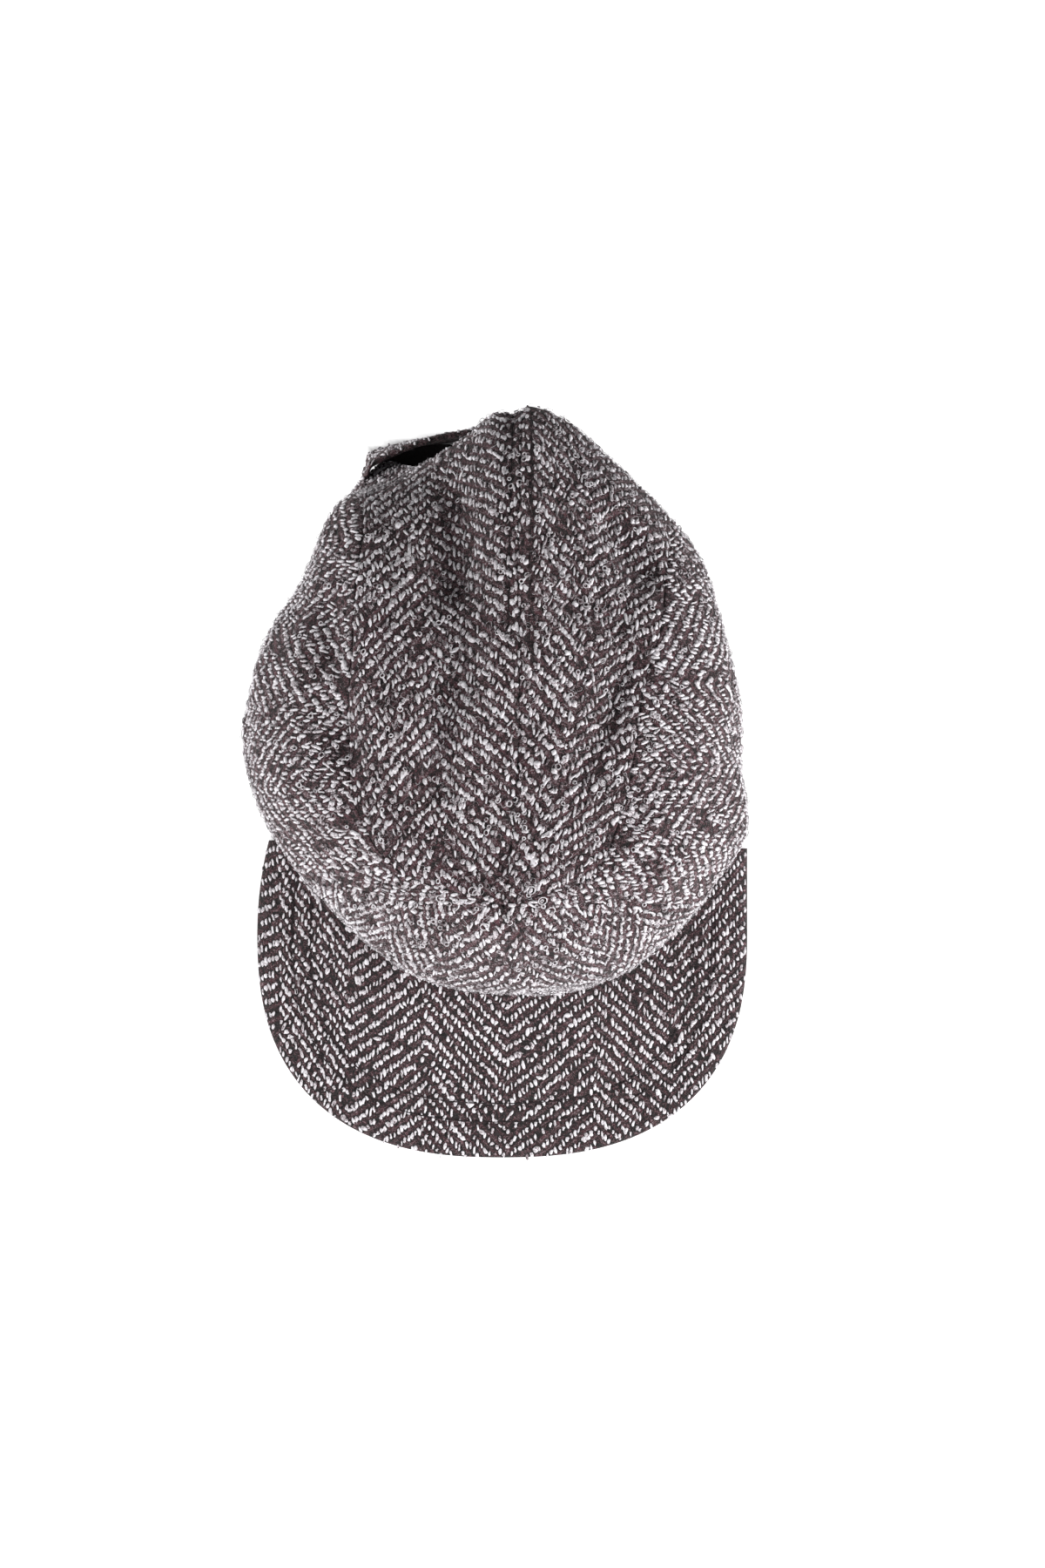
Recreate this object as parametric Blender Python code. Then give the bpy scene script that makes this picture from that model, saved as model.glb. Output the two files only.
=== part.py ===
"""Soft six-panel tweed baseball cap, lying on its rim.

Metres, +Z up. The peak points to -Y and the back of the cap to +Y. Shapes are worked out round
the middle of the crown's outline, and at the end the whole cap is moved so that the origin lies
on the surface under it, below the middle of its box.
"""

import math

import bmesh
import bpy
import numpy as np

# Driving dimensions of the crown
CROWN_LENGTH = 0.2055
CROWN_WIDTH = 0.1772
CROWN_HEIGHT = 0.0990
CLOTH = 0.0024
SEAM_GAP = 0.0003

# The outline's middle, from the front and the left, as shares of the crown's length and width
FRONT_SHARE = 0.455
LEFT_SHARE = 0.5175
BACK_SQUARENESS = 1.65
FRONT_LEFT_SQUARENESS = 2.0
FRONT_RIGHT_SQUARENESS = 2.3

# The six panels meet at the top, this far off the outline's middle, round a pinhole
MEETING_ASIDE = -0.0008
MEETING_AHEAD = 0.0575
MEETING_HOLE = 0.0022

# Driving dimensions of the peak
PEAK_WIDTH = 0.1756
PEAK_REACH = 0.0560
PEAK_THICKNESS = 0.0032
PEAK_RISE = 0.0105
PEAK_DROOP = 0.35
PEAK_ASIDE = -0.0016
PEAK_SQUARENESS = 2.5
PEAK_WAIST = 0.0042
PEAK_ROUNDING = 0.0241
PEAK_SIDE_SHARE = 0.14

# Driving dimensions of the opening at the back and of its strap
ARCH_HEIGHT = 0.0430
ARCH_SQUARENESS = 2.8
STRAP_WIDTH = 0.0200
STRAP_THICKNESS = 0.0024
STRAP_LIFT = 0.0004
STRAP_LEAN = 0.45
STRAP_CLEARANCE = 0.0006

# Sections of the crown, one row for each station round the outline: 0 is right and 90 is the back.
# bulge: how far the outline stands out, as a share of the width
# roundness: 2 is a round shoulder, 1 a flat slope
# widest: the height of the widest line, as a share of the height
# inset: how far the rim lies inside that line, as a share of the width
SECTIONS = (
    # station, bulge, roundness, widest, inset
    (0, -0.028, 2.15, 0.500, 0.014),
    (18, -0.020, 2.15, 0.500, 0.018),
    (35, 0.005, 2.05, 0.480, 0.022),
    (47, 0.012, 1.95, 0.460, 0.024),
    (60, 0.008, 1.85, 0.450, 0.022),
    (72, 0.026, 1.75, 0.430, 0.022),
    (82, 0.027, 1.75, 0.430, 0.022),
    (87, 0.006, 1.75, 0.430, 0.022),
    (91, 0.006, 1.75, 0.430, 0.018),
    (95, 0.006, 1.75, 0.430, 0.010),
    (104, -0.026, 1.75, 0.430, 0.000),
    (114, -0.029, 1.78, 0.420, -0.020),
    (123, -0.014, 1.85, 0.420, -0.056),
    (132, 0.016, 1.95, 0.440, -0.010),
    (145, -0.018, 2.10, 0.460, 0.012),
    (158, -0.009, 2.20, 0.480, 0.018),
    (180, -0.007, 2.20, 0.500, 0.020),
    (197, -0.032, 2.10, 0.520, 0.010),
    (207, -0.048, 1.90, 0.550, 0.004),
    (222, -0.053, 1.58, 0.600, -0.008),
    (245, -0.045, 1.46, 0.650, -0.015),
    (270, -0.031, 1.44, 0.670, -0.016),
    (295, -0.039, 1.46, 0.650, -0.015),
    (318, -0.034, 1.60, 0.600, -0.008),
    (331, -0.022, 1.90, 0.550, 0.004),
    (341, 0.007, 2.05, 0.520, 0.014),
)

# Where each seam runs, seen from above: places on its way from the meeting point, as shares of the
# crown's width and length from its middle, and then the station where it meets the rim
SEAMS = {
    "front_left": (((-0.113, -0.278), (-0.226, -0.269), (-0.331, -0.241)), 207),
    "back_left": (
        (
            (-0.113, -0.251),
            (-0.186, -0.232),
            (-0.240, -0.192),
            (-0.285, -0.120),
            (-0.303, -0.010),
            (-0.292, 0.146),
            (-0.282, 0.277),
            (-0.277, 0.380),
        ),
        130,
    ),
    "centre": (((0.008, -0.200), (0.024, 0.190), (0.028, 0.423)), 85),
    "back_right": (
        (
            (0.102, -0.250),
            (0.158, -0.232),
            (0.198, -0.185),
            (0.224, -0.120),
            (0.243, -0.044),
            (0.260, 0.063),
            (0.293, 0.165),
            (0.314, 0.282),
        ),
        49,
    ),
    "front_right": (((0.102, -0.281), (0.175, -0.272), (0.305, -0.276)), -23),
    "front": (((0.004, -0.340),), -90),
}

# The panels, each with its two seams in the order of the stations, and the row of facets where it
# starts: the side panels' thin tips stop one row short
PANELS = (
    # name, first seam, second seam, degrees added to the second seam, first row
    ("front_left_panel", "front_left", "front", 360, 0),
    ("front_right_panel", "front", "front_right", 0, 0),
    ("side_left_panel", "back_left", "front_left", 0, 1),
    ("side_right_panel", "front_right", "back_right", 0, 1),
    ("back_left_panel", "centre", "back_left", 0, 0),
    ("back_right_panel", "back_right", "centre", 0, 0),
)

# The stations where the arch, the strap and the peak start and end
ARCH_ENDS = (57, 119.5)
STRAP_ENDS = (52.5, 124)
PEAK_ENDS = (201.5, 338.5)

# How far the strap stands outside the crown's rounded outline, as a share of the width
STRAP_STANDS = (
    # station, stand
    (50, -0.030),
    (94, -0.019),
    (102, -0.012),
    (108, 0.001),
    (116, 0.034),
    (124, 0.068),
)

# Dents in the top of the crown, placed and sized as shares of its width and length from the middle
DENTS = (
    # across, along, half width, half length, depth as a share of the height
    (-0.107, 0.285, 0.050, 0.080, 0.040),
    (-0.130, 0.060, 0.040, 0.140, 0.020),
    (0.186, 0.080, 0.090, 0.110, 0.040),
    (-0.310, 0.000, 0.050, 0.060, 0.025),
    (0.254, 0.290, 0.050, 0.060, 0.030),
)

# The share of a panel's way from the meeting point to the rim that is above the widest line
WALL_START = 0.72

# Fineness of the facets
PANEL_COLUMNS = 12
PANEL_ROWS = 22
ROW_SPREAD = 1.3
PEAK_COLUMNS = 44
PEAK_ROWS = 7
STRAP_COLUMNS = 30
STRAP_ROWS = 3

# How finely slopes are measured and stations are searched for
STEP = 0.002
HALVINGS = 30
SHARP_EDGE = math.radians(50)

TWEED = (0.078, 0.060, 0.064, 1.0)
TWEED_ROUGHNESS = 0.95

FRONT_REACH = CROWN_LENGTH * FRONT_SHARE
BACK_REACH = CROWN_LENGTH - FRONT_REACH
LEFT_REACH = CROWN_WIDTH * LEFT_SHARE
RIGHT_REACH = CROWN_WIDTH - LEFT_REACH
MEETING = np.array((MEETING_ASIDE, -MEETING_AHEAD))
PEAK_ROOT = -FRONT_REACH


def ease_through(position, places, values):
    """Read a table at a position, on a smooth curve through its rows."""
    index = int(np.clip(np.searchsorted(places, position) - 1, 0, len(places) - 2))
    slopes = []
    for row in (index, index + 1):
        low = max(row - 1, 0)
        high = min(row + 1, len(places) - 1)
        slopes.append((values[high] - values[low]) / (places[high] - places[low]))
    span = places[index + 1] - places[index]
    share = min(max((position - places[index]) / span, 0.0), 1.0)
    rise = values[index + 1] - values[index]
    out = slopes[0] * span
    into = slopes[1] * span
    bend = 3 * rise - 2 * out - into
    twist = out + into - 2 * rise
    return values[index] + share * (out + share * (bend + share * twist))


def repeat_round(table):
    """The sections with a copy before and after, so that they can be read across station 0."""
    turn = np.zeros(table.shape[1])
    turn[0] = 360
    return np.vstack((table - turn, table, table + turn))


SECTION_TABLE = repeat_round(np.array(SECTIONS))
STAND_TABLE = np.array(STRAP_STANDS)


def section_at(station):
    """Bulge, roundness, widest and inset at a station."""
    return ease_through(station % 360, SECTION_TABLE[:, 0], SECTION_TABLE[:, 1:])


def plain_outline(station):
    """A point on the crown's rounded outline, before it bulges, seen from above."""
    across = math.cos(math.radians(station))
    along = math.sin(math.radians(station))
    if along > 0:
        squareness = BACK_SQUARENESS
    else:
        squareness = FRONT_RIGHT_SQUARENESS if across > 0 else FRONT_LEFT_SQUARENESS
    side = RIGHT_REACH if across > 0 else LEFT_REACH
    length = BACK_REACH if along > 0 else FRONT_REACH
    return np.array(
        (
            math.copysign(side * abs(across) ** (2 / squareness), across),
            math.copysign(length * abs(along) ** (2 / squareness), along),
        )
    )


def outline(station):
    """A point on the widest line of the crown, seen from above."""
    away = plain_outline(station) - MEETING
    return MEETING + away * (1 + section_at(station)[0] * CROWN_WIDTH / np.hypot(*away))


def peak_under(place):
    """Height of the underside of the peak: arched across, and drooping towards its front."""
    across = (place[0] - PEAK_ASIDE) / (PEAK_WIDTH / 2)
    ahead = (PEAK_ROOT - place[1]) / PEAK_REACH
    droop = 1 - PEAK_DROOP * min(max(ahead, 0.0), 1.0)
    return PEAK_RISE * droop * max(1 - across**2, 0.0)


def dent_at(place):
    """Depth of the dents at a place seen from above."""
    depth = 0.0
    for across, along, half_width, half_length, share in DENTS:
        aside = (place[0] / CROWN_WIDTH - across) / half_width
        ahead = (place[1] / CROWN_LENGTH - along) / half_length
        depth += share * CROWN_HEIGHT * math.exp(-(aside**2) - ahead**2)
    return depth


def rim_height(station, place):
    """The rim lies on the surface, and over the peak it follows the peak's arch."""
    over_peak = PEAK_ENDS[0] < station % 360 < PEAK_ENDS[1]
    return peak_under(place) if over_peak else 0.0


def crown_skin(station, way):
    """A point on the outer face of the crown: way 0 is the meeting point and way 1 the rim."""
    bulge, roundness, widest, inset = section_at(station)
    line = outline(station) - MEETING
    widest_height = widest * CROWN_HEIGHT
    if way < WALL_START:
        turn = way / WALL_START * math.pi / 2
        place = MEETING + line * math.sin(turn) ** (2 / roundness)
        share = math.cos(turn) ** (2 / roundness)
        height = widest_height + (CROWN_HEIGHT - widest_height) * share
        height -= dent_at(place) * math.sqrt(share)
    else:
        share = (way - WALL_START) / (1 - WALL_START)
        length = float(np.hypot(*line))
        place = MEETING + line * (1 - inset * CROWN_WIDTH * math.sin(share * math.pi / 2) ** 2 / length)
        height = widest_height + (rim_height(station, place) - widest_height) * share
    return np.array((place[0], place[1], height))


def crown_slopes(station, way):
    """How the outer face runs: for one step down towards the rim, and for one degree round."""
    low = max(way - STEP, 0.0)
    high = min(way + STEP, 1.0)
    down = (crown_skin(station, high) - crown_skin(station, low)) / (high - low)
    around = crown_skin(station + 0.5, way) - crown_skin(station - 0.5, way)
    return down, around


def crown_normal(station, way):
    """The outward direction of the crown, shared by the panels on both sides of a seam."""
    normal = np.cross(*crown_slopes(station, way))
    return normal / np.linalg.norm(normal)


def station_towards(direction):
    """The station where a line from the meeting point in a direction reaches the outline."""
    low = 0.0
    high = 360.0
    target = math.atan2(direction[1], direction[0]) % (2 * math.pi)
    start = math.atan2(*(outline(0.0) - MEETING)[::-1])
    target = (target - start) % (2 * math.pi)
    for _ in range(HALVINGS):
        middle = (low + high) / 2
        away = outline(middle) - MEETING
        angle = (math.atan2(away[1], away[0]) - start) % (2 * math.pi)
        if angle < target:
            low = middle
        else:
            high = middle
    return (low + high) / 2


def seam_table(places, rim_station):
    """A seam's ways and stations, from its places seen from above."""
    ways = []
    stations = []
    for across, along in places:
        direction = np.array((across * CROWN_WIDTH, along * CROWN_LENGTH)) - MEETING
        station = station_towards(direction)
        reach = min(np.hypot(*direction) / np.hypot(*(outline(station) - MEETING)), 1.0)
        turn = math.asin(reach ** (section_at(station)[1] / 2))
        ways.append(turn * 2 / math.pi * WALL_START)
        stations.append(station - 360 if station - rim_station > 180 else station)
    stations.append(rim_station)
    return np.array([0.0, *ways, 1.0]), np.array([stations[0], *stations])


SEAM_TABLES = {name: seam_table(*route) for name, route in SEAMS.items()}


def seam_at(name, way):
    """The station where a seam lies at a way from the meeting point to the rim."""
    return float(ease_through(way, *SEAM_TABLES[name]))


def beside_seam(name, way, turns, side):
    """The station half a seam gap beside a seam, measured square to it."""
    station = seam_at(name, way) + turns
    low = max(way - STEP, 0.0)
    high = min(way + STEP, 1.0)
    along = crown_skin(seam_at(name, high) + turns, high) - crown_skin(seam_at(name, low) + turns, low)
    along = along / np.linalg.norm(along)
    around = crown_slopes(station, way)[1]
    apart = np.linalg.norm(around - along * np.dot(around, along))
    return station + side * SEAM_GAP / 2 / apart


def arch_way(station):
    """How far down a back panel reaches: to the rim, or to the edge of the arch."""
    middle = (ARCH_ENDS[0] + ARCH_ENDS[1]) / 2
    share = abs(station - middle) / (ARCH_ENDS[1] - middle)
    if share >= 1:
        return 1.0
    top = ARCH_HEIGHT * (1 - share**ARCH_SQUARENESS) ** (1 / ARCH_SQUARENESS)
    widest_height = section_at(station)[2] * CROWN_HEIGHT
    if top < widest_height:
        return 1 - (1 - WALL_START) * top / widest_height
    height_share = min((top - widest_height) / (CROWN_HEIGHT - widest_height), 1.0)
    return math.acos(height_share ** (section_at(station)[1] / 2)) * 2 / math.pi * WALL_START


def add_material(name):
    """Plain tweed for the model's own views."""
    material = bpy.data.materials.new(name)
    material.use_nodes = True
    shader = material.node_tree.nodes["Principled BSDF"]
    shader.inputs["Base Color"].default_value = TWEED
    shader.inputs["Roughness"].default_value = TWEED_ROUGHNESS
    shader.inputs["Metallic"].default_value = 0.0
    material.diffuse_color = TWEED
    return material


def loft_wall(name, outer, inner):
    """Join two grids of points, an outer and an inner face, into one closed wall."""
    work = bmesh.new()
    skin = [[work.verts.new(point) for point in row] for row in outer]
    lining = [[work.verts.new(point) for point in row] for row in inner]
    rows = len(outer)
    columns = len(outer[0])
    for grid in (skin, lining):
        for row in range(rows - 1):
            for column in range(columns - 1):
                work.faces.new(
                    (
                        grid[row][column],
                        grid[row + 1][column],
                        grid[row + 1][column + 1],
                        grid[row][column + 1],
                    )
                )
    border = [(0, column) for column in range(columns)]
    border += [(row, columns - 1) for row in range(1, rows)]
    border += [(rows - 1, column) for column in range(columns - 2, -1, -1)]
    border += [(row, 0) for row in range(rows - 2, 0, -1)]
    for place, (row, column) in enumerate(border):
        next_row, next_column = border[(place + 1) % len(border)]
        work.faces.new(
            (
                skin[row][column],
                skin[next_row][next_column],
                lining[next_row][next_column],
                lining[row][column],
            )
        )
    bmesh.ops.recalc_face_normals(work, faces=work.faces)
    bmesh.ops.triangulate(work, faces=work.faces)
    mesh = bpy.data.meshes.new(name)
    work.to_mesh(mesh)
    work.free()
    mesh.shade_smooth()
    mesh.set_sharp_from_angle(angle=SHARP_EDGE)
    mesh.materials.append(add_material(name))
    CAP.objects.link(bpy.data.objects.new(name, mesh))


def add_panel(name, first_seam, second_seam, turns, first_row):
    """One crown panel, between two seams, with its rim flat on the surface."""
    ends = arch_way if name.startswith("back") else lambda station: 1.0
    outer = []
    inner = []
    for row in range(first_row, PANEL_ROWS + 1):
        outer.append([])
        inner.append([])
        for column in range(PANEL_COLUMNS + 1):
            across = column / PANEL_COLUMNS
            start_rim = seam_at(first_seam, 1.0)
            rim_station = start_rim + (seam_at(second_seam, 1.0) + turns - start_rim) * across
            length = float(np.hypot(*(outline(rim_station) - MEETING)))
            roundness = section_at(rim_station)[1]
            first = math.asin((MEETING_HOLE / length) ** (roundness / 2)) * 2 / math.pi * WALL_START
            way = first + (ends(rim_station) - first) * (row / PANEL_ROWS) ** ROW_SPREAD
            start = beside_seam(first_seam, way, 0, 1)
            end = beside_seam(second_seam, way, turns, -1)
            station = start + (end - start) * across
            skin = crown_skin(station, way)
            lining = skin - crown_normal(station, way) * CLOTH
            if way == 1.0:
                lining[2] = skin[2]
            outer[-1].append(skin)
            inner[-1].append(lining)
    loft_wall(name, outer, inner)


def peak_outline(share):
    """A point on the edge of the peak, from its left back corner round to its right one."""
    half_width = PEAK_WIDTH / 2
    turn_start = PEAK_ROOT + PEAK_ROUNDING
    tip = PEAK_ROOT - PEAK_REACH
    corner = crown_skin(PEAK_ENDS[0] if share < 0.5 else PEAK_ENDS[1], 1.0)[1]
    along = min(share, 1 - share) / PEAK_SIDE_SHARE
    if along < 1:
        y = corner + (turn_start - corner) * along
        x = half_width if share > 0.5 else PEAK_WAIST * (1 - along) ** 2 - half_width
    else:
        turn = (share - PEAK_SIDE_SHARE) / (1 - 2 * PEAK_SIDE_SHARE) * math.pi
        x = -math.copysign(half_width * abs(math.cos(turn)) ** (2 / PEAK_SQUARENESS), math.cos(turn))
        y = turn_start - (turn_start - tip) * math.sin(turn) ** (2 / PEAK_SQUARENESS)
    return np.array((PEAK_ASIDE + x, y))


def peak_root(station, lift):
    """A point a seam gap in front of the crown, at a height above its rim."""
    way = 1 - (1 - WALL_START) * lift / (section_at(station)[2] * CROWN_HEIGHT)
    place = crown_skin(station, way)[:2]
    away = place - MEETING
    return place + away / np.hypot(*away) * SEAM_GAP


def add_peak():
    """The peak: a stiff plate from the foot of the front panels to its own rounded edge."""
    grids = []
    for lift in (PEAK_THICKNESS, 0.0):
        grids.append([])
        for row in range(PEAK_ROWS + 1):
            grids[-1].append([])
            for column in range(PEAK_COLUMNS + 1):
                share = column / PEAK_COLUMNS
                station = PEAK_ENDS[0] + (PEAK_ENDS[1] - PEAK_ENDS[0]) * share
                root = peak_root(station, lift)
                place = root + (peak_outline(share) - root) * row / PEAK_ROWS
                grids[-1][-1].append((place[0], place[1], peak_under(place) + lift))
    loft_wall("peak", *grids)


def strap_reach(station, height):
    """How far the strap's inner face is from the meeting point, seen from above, clear of the crown."""
    stand = float(ease_through(station, STAND_TABLE[:, 0], STAND_TABLE[:, 1])) * CROWN_WIDTH
    lean = 1 - STRAP_LEAN * height / STRAP_WIDTH if stand > 0 else 1
    reach = np.hypot(*(plain_outline(station) - MEETING)) + stand * lean
    way = 1 - (1 - WALL_START) * height / (section_at(station)[2] * CROWN_HEIGHT)
    crown = np.hypot(*(crown_skin(station, way)[:2] - MEETING))
    return max(reach, crown + STRAP_CLEARANCE)


def add_strap():
    """The strap across the arch: it laps over both of the arch's ends and stands on its edge."""
    grids = []
    for depth in (STRAP_THICKNESS, 0.0):
        grids.append([])
        for row in range(STRAP_ROWS + 1):
            grids[-1].append([])
            height = STRAP_WIDTH * (1 - row / STRAP_ROWS)
            for column in range(STRAP_COLUMNS + 1):
                station = STRAP_ENDS[0] + (STRAP_ENDS[1] - STRAP_ENDS[0]) * column / STRAP_COLUMNS
                away = outline(station) - MEETING
                place = MEETING + away / np.hypot(*away) * (strap_reach(station, height) + depth)
                grids[-1][-1].append((place[0], place[1], STRAP_LIFT + height))
    loft_wall("back_strap", *grids)


def centre_on_origin(objects):
    """Move every mesh so that the cap's box stands on the surface, centred over the origin."""
    points = np.array([vertex.co for piece in objects for vertex in piece.data.vertices])
    low = points.min(axis=0)
    high = points.max(axis=0)
    shift = np.array(((low[0] + high[0]) / 2, (low[1] + high[1]) / 2, low[2]))
    for piece in objects:
        for vertex in piece.data.vertices:
            vertex.co = np.array(vertex.co) - shift


for leftover in list(bpy.data.objects):
    bpy.data.objects.remove(leftover, do_unlink=True)

CAP = bpy.data.collections.new("tweed_cap")
bpy.context.scene.collection.children.link(CAP)

for panel in PANELS:
    add_panel(*panel)
add_peak()
add_strap()
centre_on_origin(list(CAP.objects))
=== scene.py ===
"""Looks for the tweed baseball cap: soft herringbone cloth with real slubs, loops and stitching,
seen from straight above on a white surface. Metres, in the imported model's frame.
"""

import math

import bmesh
import bpy
import numpy as np
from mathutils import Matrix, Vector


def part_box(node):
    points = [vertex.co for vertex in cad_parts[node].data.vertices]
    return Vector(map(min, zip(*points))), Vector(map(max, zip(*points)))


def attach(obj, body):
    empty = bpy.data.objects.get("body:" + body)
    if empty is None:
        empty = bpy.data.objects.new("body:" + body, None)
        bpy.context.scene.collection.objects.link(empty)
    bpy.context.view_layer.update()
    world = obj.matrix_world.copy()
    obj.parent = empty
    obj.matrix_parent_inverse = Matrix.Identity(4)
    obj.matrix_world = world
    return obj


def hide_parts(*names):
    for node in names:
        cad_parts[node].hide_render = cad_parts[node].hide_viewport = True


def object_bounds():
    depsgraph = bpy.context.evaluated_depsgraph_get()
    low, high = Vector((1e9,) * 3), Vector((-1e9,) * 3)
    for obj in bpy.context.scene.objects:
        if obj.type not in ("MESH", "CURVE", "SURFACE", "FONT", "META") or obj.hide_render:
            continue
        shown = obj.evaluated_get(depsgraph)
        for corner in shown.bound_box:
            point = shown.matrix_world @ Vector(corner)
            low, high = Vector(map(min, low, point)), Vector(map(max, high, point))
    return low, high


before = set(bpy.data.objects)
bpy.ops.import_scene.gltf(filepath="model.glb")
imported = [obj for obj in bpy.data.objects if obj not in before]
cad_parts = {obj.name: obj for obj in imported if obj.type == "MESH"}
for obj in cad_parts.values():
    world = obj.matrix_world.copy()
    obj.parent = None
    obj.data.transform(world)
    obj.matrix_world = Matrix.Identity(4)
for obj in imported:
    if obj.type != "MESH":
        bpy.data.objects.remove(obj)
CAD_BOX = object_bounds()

MM = 0.001

# Crown, as in the part's source
CROWN_LENGTH = 0.2055
CROWN_WIDTH = 0.1772
CROWN_HEIGHT = 0.0990
CLOTH = 0.0024
FRONT_SHARE = 0.455
LEFT_SHARE = 0.5175
BACK_SQUARENESS = 1.65
FRONT_LEFT_SQUARENESS = 2.0
FRONT_RIGHT_SQUARENESS = 2.3
MEETING_ASIDE = -0.0008
MEETING_AHEAD = 0.0575
MEETING_HOLE = 0.0005
WALL_START = 0.72
ROW_SPREAD = 1.3

# The cloth panels lie closer together than the solids do
SEAM_GAP = 0.0001

# The step by which slopes are measured, and how finely the outline is searched
STEP = 0.002
STATIONS_PER_DEGREE = 4

# Peak, as in the part's source
PEAK_WIDTH = 0.1756
PEAK_REACH = 0.0560
PEAK_THICKNESS = 0.0032
PEAK_RISE = 0.0105
PEAK_DROOP = 0.35
PEAK_ASIDE = -0.0016
PEAK_SQUARENESS = 2.5
PEAK_WAIST = 0.0042
PEAK_ROUNDING = 0.0241
PEAK_SIDE_SHARE = 0.14
PEAK_ENDS = (201.5, 338.5)

# Arch and strap, as in the part's source
ARCH_HEIGHT = 0.0430
ARCH_SQUARENESS = 2.8
ARCH_ENDS = (57, 119.5)
STRAP_WIDTH = 0.0200
STRAP_THICKNESS = 0.0024
STRAP_LIFT = 0.0004
STRAP_LEAN = 0.45
STRAP_CLEARANCE = 0.0006
STRAP_ENDS = (52.5, 124)

# The strap's left end turns back to the crown: until which station, and how far in
STRAP_TURN = 126.5
STRAP_RETURN = 0.011

# How far the strap stands outside the crown's rounded outline, as a share of the width
STRAP_STANDS = (
    # station, stand
    (50, -0.030),
    (94, -0.019),
    (102, -0.012),
    (108, 0.001),
    (116, 0.034),
    (124, 0.068),
)

# Sections of the crown for each station round its outline: 0 is right and 90 is the back
SECTIONS = (
    # station, bulge, roundness, widest, inset
    (0, -0.028, 2.15, 0.500, 0.014),
    (18, -0.020, 2.15, 0.500, 0.018),
    (35, 0.005, 2.05, 0.480, 0.022),
    (47, 0.012, 1.95, 0.460, 0.024),
    (60, 0.008, 1.85, 0.450, 0.022),
    (72, 0.026, 1.75, 0.430, 0.022),
    (82, 0.027, 1.75, 0.430, 0.022),
    (87, 0.006, 1.75, 0.430, 0.022),
    (91, 0.006, 1.75, 0.430, 0.018),
    (95, 0.006, 1.75, 0.430, 0.010),
    (104, -0.026, 1.75, 0.430, 0.000),
    (114, -0.029, 1.78, 0.420, -0.020),
    (123, -0.014, 1.85, 0.420, -0.056),
    (132, 0.016, 1.95, 0.440, -0.010),
    (145, -0.018, 2.10, 0.460, 0.012),
    (158, -0.009, 2.20, 0.480, 0.018),
    (180, -0.007, 2.20, 0.500, 0.020),
    (197, -0.032, 2.10, 0.520, 0.010),
    (207, -0.048, 1.90, 0.550, 0.004),
    (222, -0.053, 1.58, 0.600, -0.008),
    (245, -0.045, 1.46, 0.650, -0.015),
    (270, -0.031, 1.44, 0.670, -0.016),
    (295, -0.039, 1.46, 0.650, -0.015),
    (318, -0.034, 1.60, 0.600, -0.008),
    (331, -0.022, 1.90, 0.550, 0.004),
    (341, 0.007, 2.05, 0.520, 0.014),
)

# Where each seam runs, seen from above, as shares of the width and length, then its rim station
SEAMS = {
    "front_left": (((-0.113, -0.278), (-0.226, -0.269), (-0.331, -0.241)), 207),
    "back_left": (
        (
            (-0.113, -0.251),
            (-0.186, -0.232),
            (-0.240, -0.192),
            (-0.285, -0.120),
            (-0.303, -0.010),
            (-0.292, 0.146),
            (-0.282, 0.277),
            (-0.277, 0.380),
        ),
        130,
    ),
    "centre": (((0.008, -0.200), (0.024, 0.190), (0.028, 0.423)), 85),
    "back_right": (
        (
            (0.102, -0.250),
            (0.158, -0.232),
            (0.198, -0.185),
            (0.224, -0.120),
            (0.243, -0.044),
            (0.260, 0.063),
            (0.293, 0.165),
            (0.314, 0.282),
        ),
        49,
    ),
    "front_right": (((0.102, -0.281), (0.175, -0.272), (0.305, -0.276)), -23),
    "front": (((0.004, -0.340),), -90),
}

# Dents, as in the part's source
DENTS = (
    # across, along, half width, half length, depth as a share of the height
    (-0.107, 0.285, 0.050, 0.080, 0.040),
    (-0.130, 0.060, 0.040, 0.140, 0.020),
    (0.186, 0.080, 0.090, 0.110, 0.040),
    (-0.310, 0.000, 0.050, 0.060, 0.025),
    (0.254, 0.290, 0.050, 0.060, 0.030),
)

# Weave: 2/2 twill in stripes that turn back and forth, with one thick light thread in each repeat
THREAD = 1.27 * MM
REPEAT = 4.9 * MM
STRIPE = 22 * THREAD
TWILL_STEP = 0.25
STRIPE_SHIFT = 0.13

# Half the length, width and height of a slub, which is one float of the light thread
SLUB_LENGTH = 1.30 * MM
SLUB_WIDTH = 0.53 * MM
SLUB_HEIGHT = 0.44 * MM
SLUB_LUMPS = 0.34
SLUB_SWING = 0.30
SLUB_STRAY = 0.38 * MM
SLUB_LIFT = 0.10 * MM
SLUB_SIZE_SPREAD = 0.20
SLUB_TONE_SPREAD = 0.10
SLUB_TONES = (0.02, 1.2)
SLUBS_KEPT = 0.97
PATCHINESS = 0.25

# How disordered the slubs are and how large, on the crown and on the peak
CROWN_SLUBS = (1.0, 1.0)
PEAK_SLUBS = (0.7, 0.88)

# How dark the ground is: the peak's is darker, painted shade for the deeper shadows between its slubs, and
# its weave shows more sharply
CROWN_SHADE = 0.58
PEAK_SHADE = 0.73

# Kinds of slub: share of all, length, width and tone; the dim ones lie half under the fuzz
SLUB_KINDS = (
    (0.58, 1.05, 1.05, 0.98),
    (0.12, 0.80, 1.60, 0.92),
    (0.20, 1.15, 1.15, 0.64),
    (0.10, 0.95, 0.95, 0.40),
)

# A slub's own shape: rings of points, at a place along it and of a size, between two tips
SLUB_RINGS = ((-0.66, 0.84), (0.0, 1.0), (0.66, 0.84))
SLUB_SIDES = 5

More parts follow.
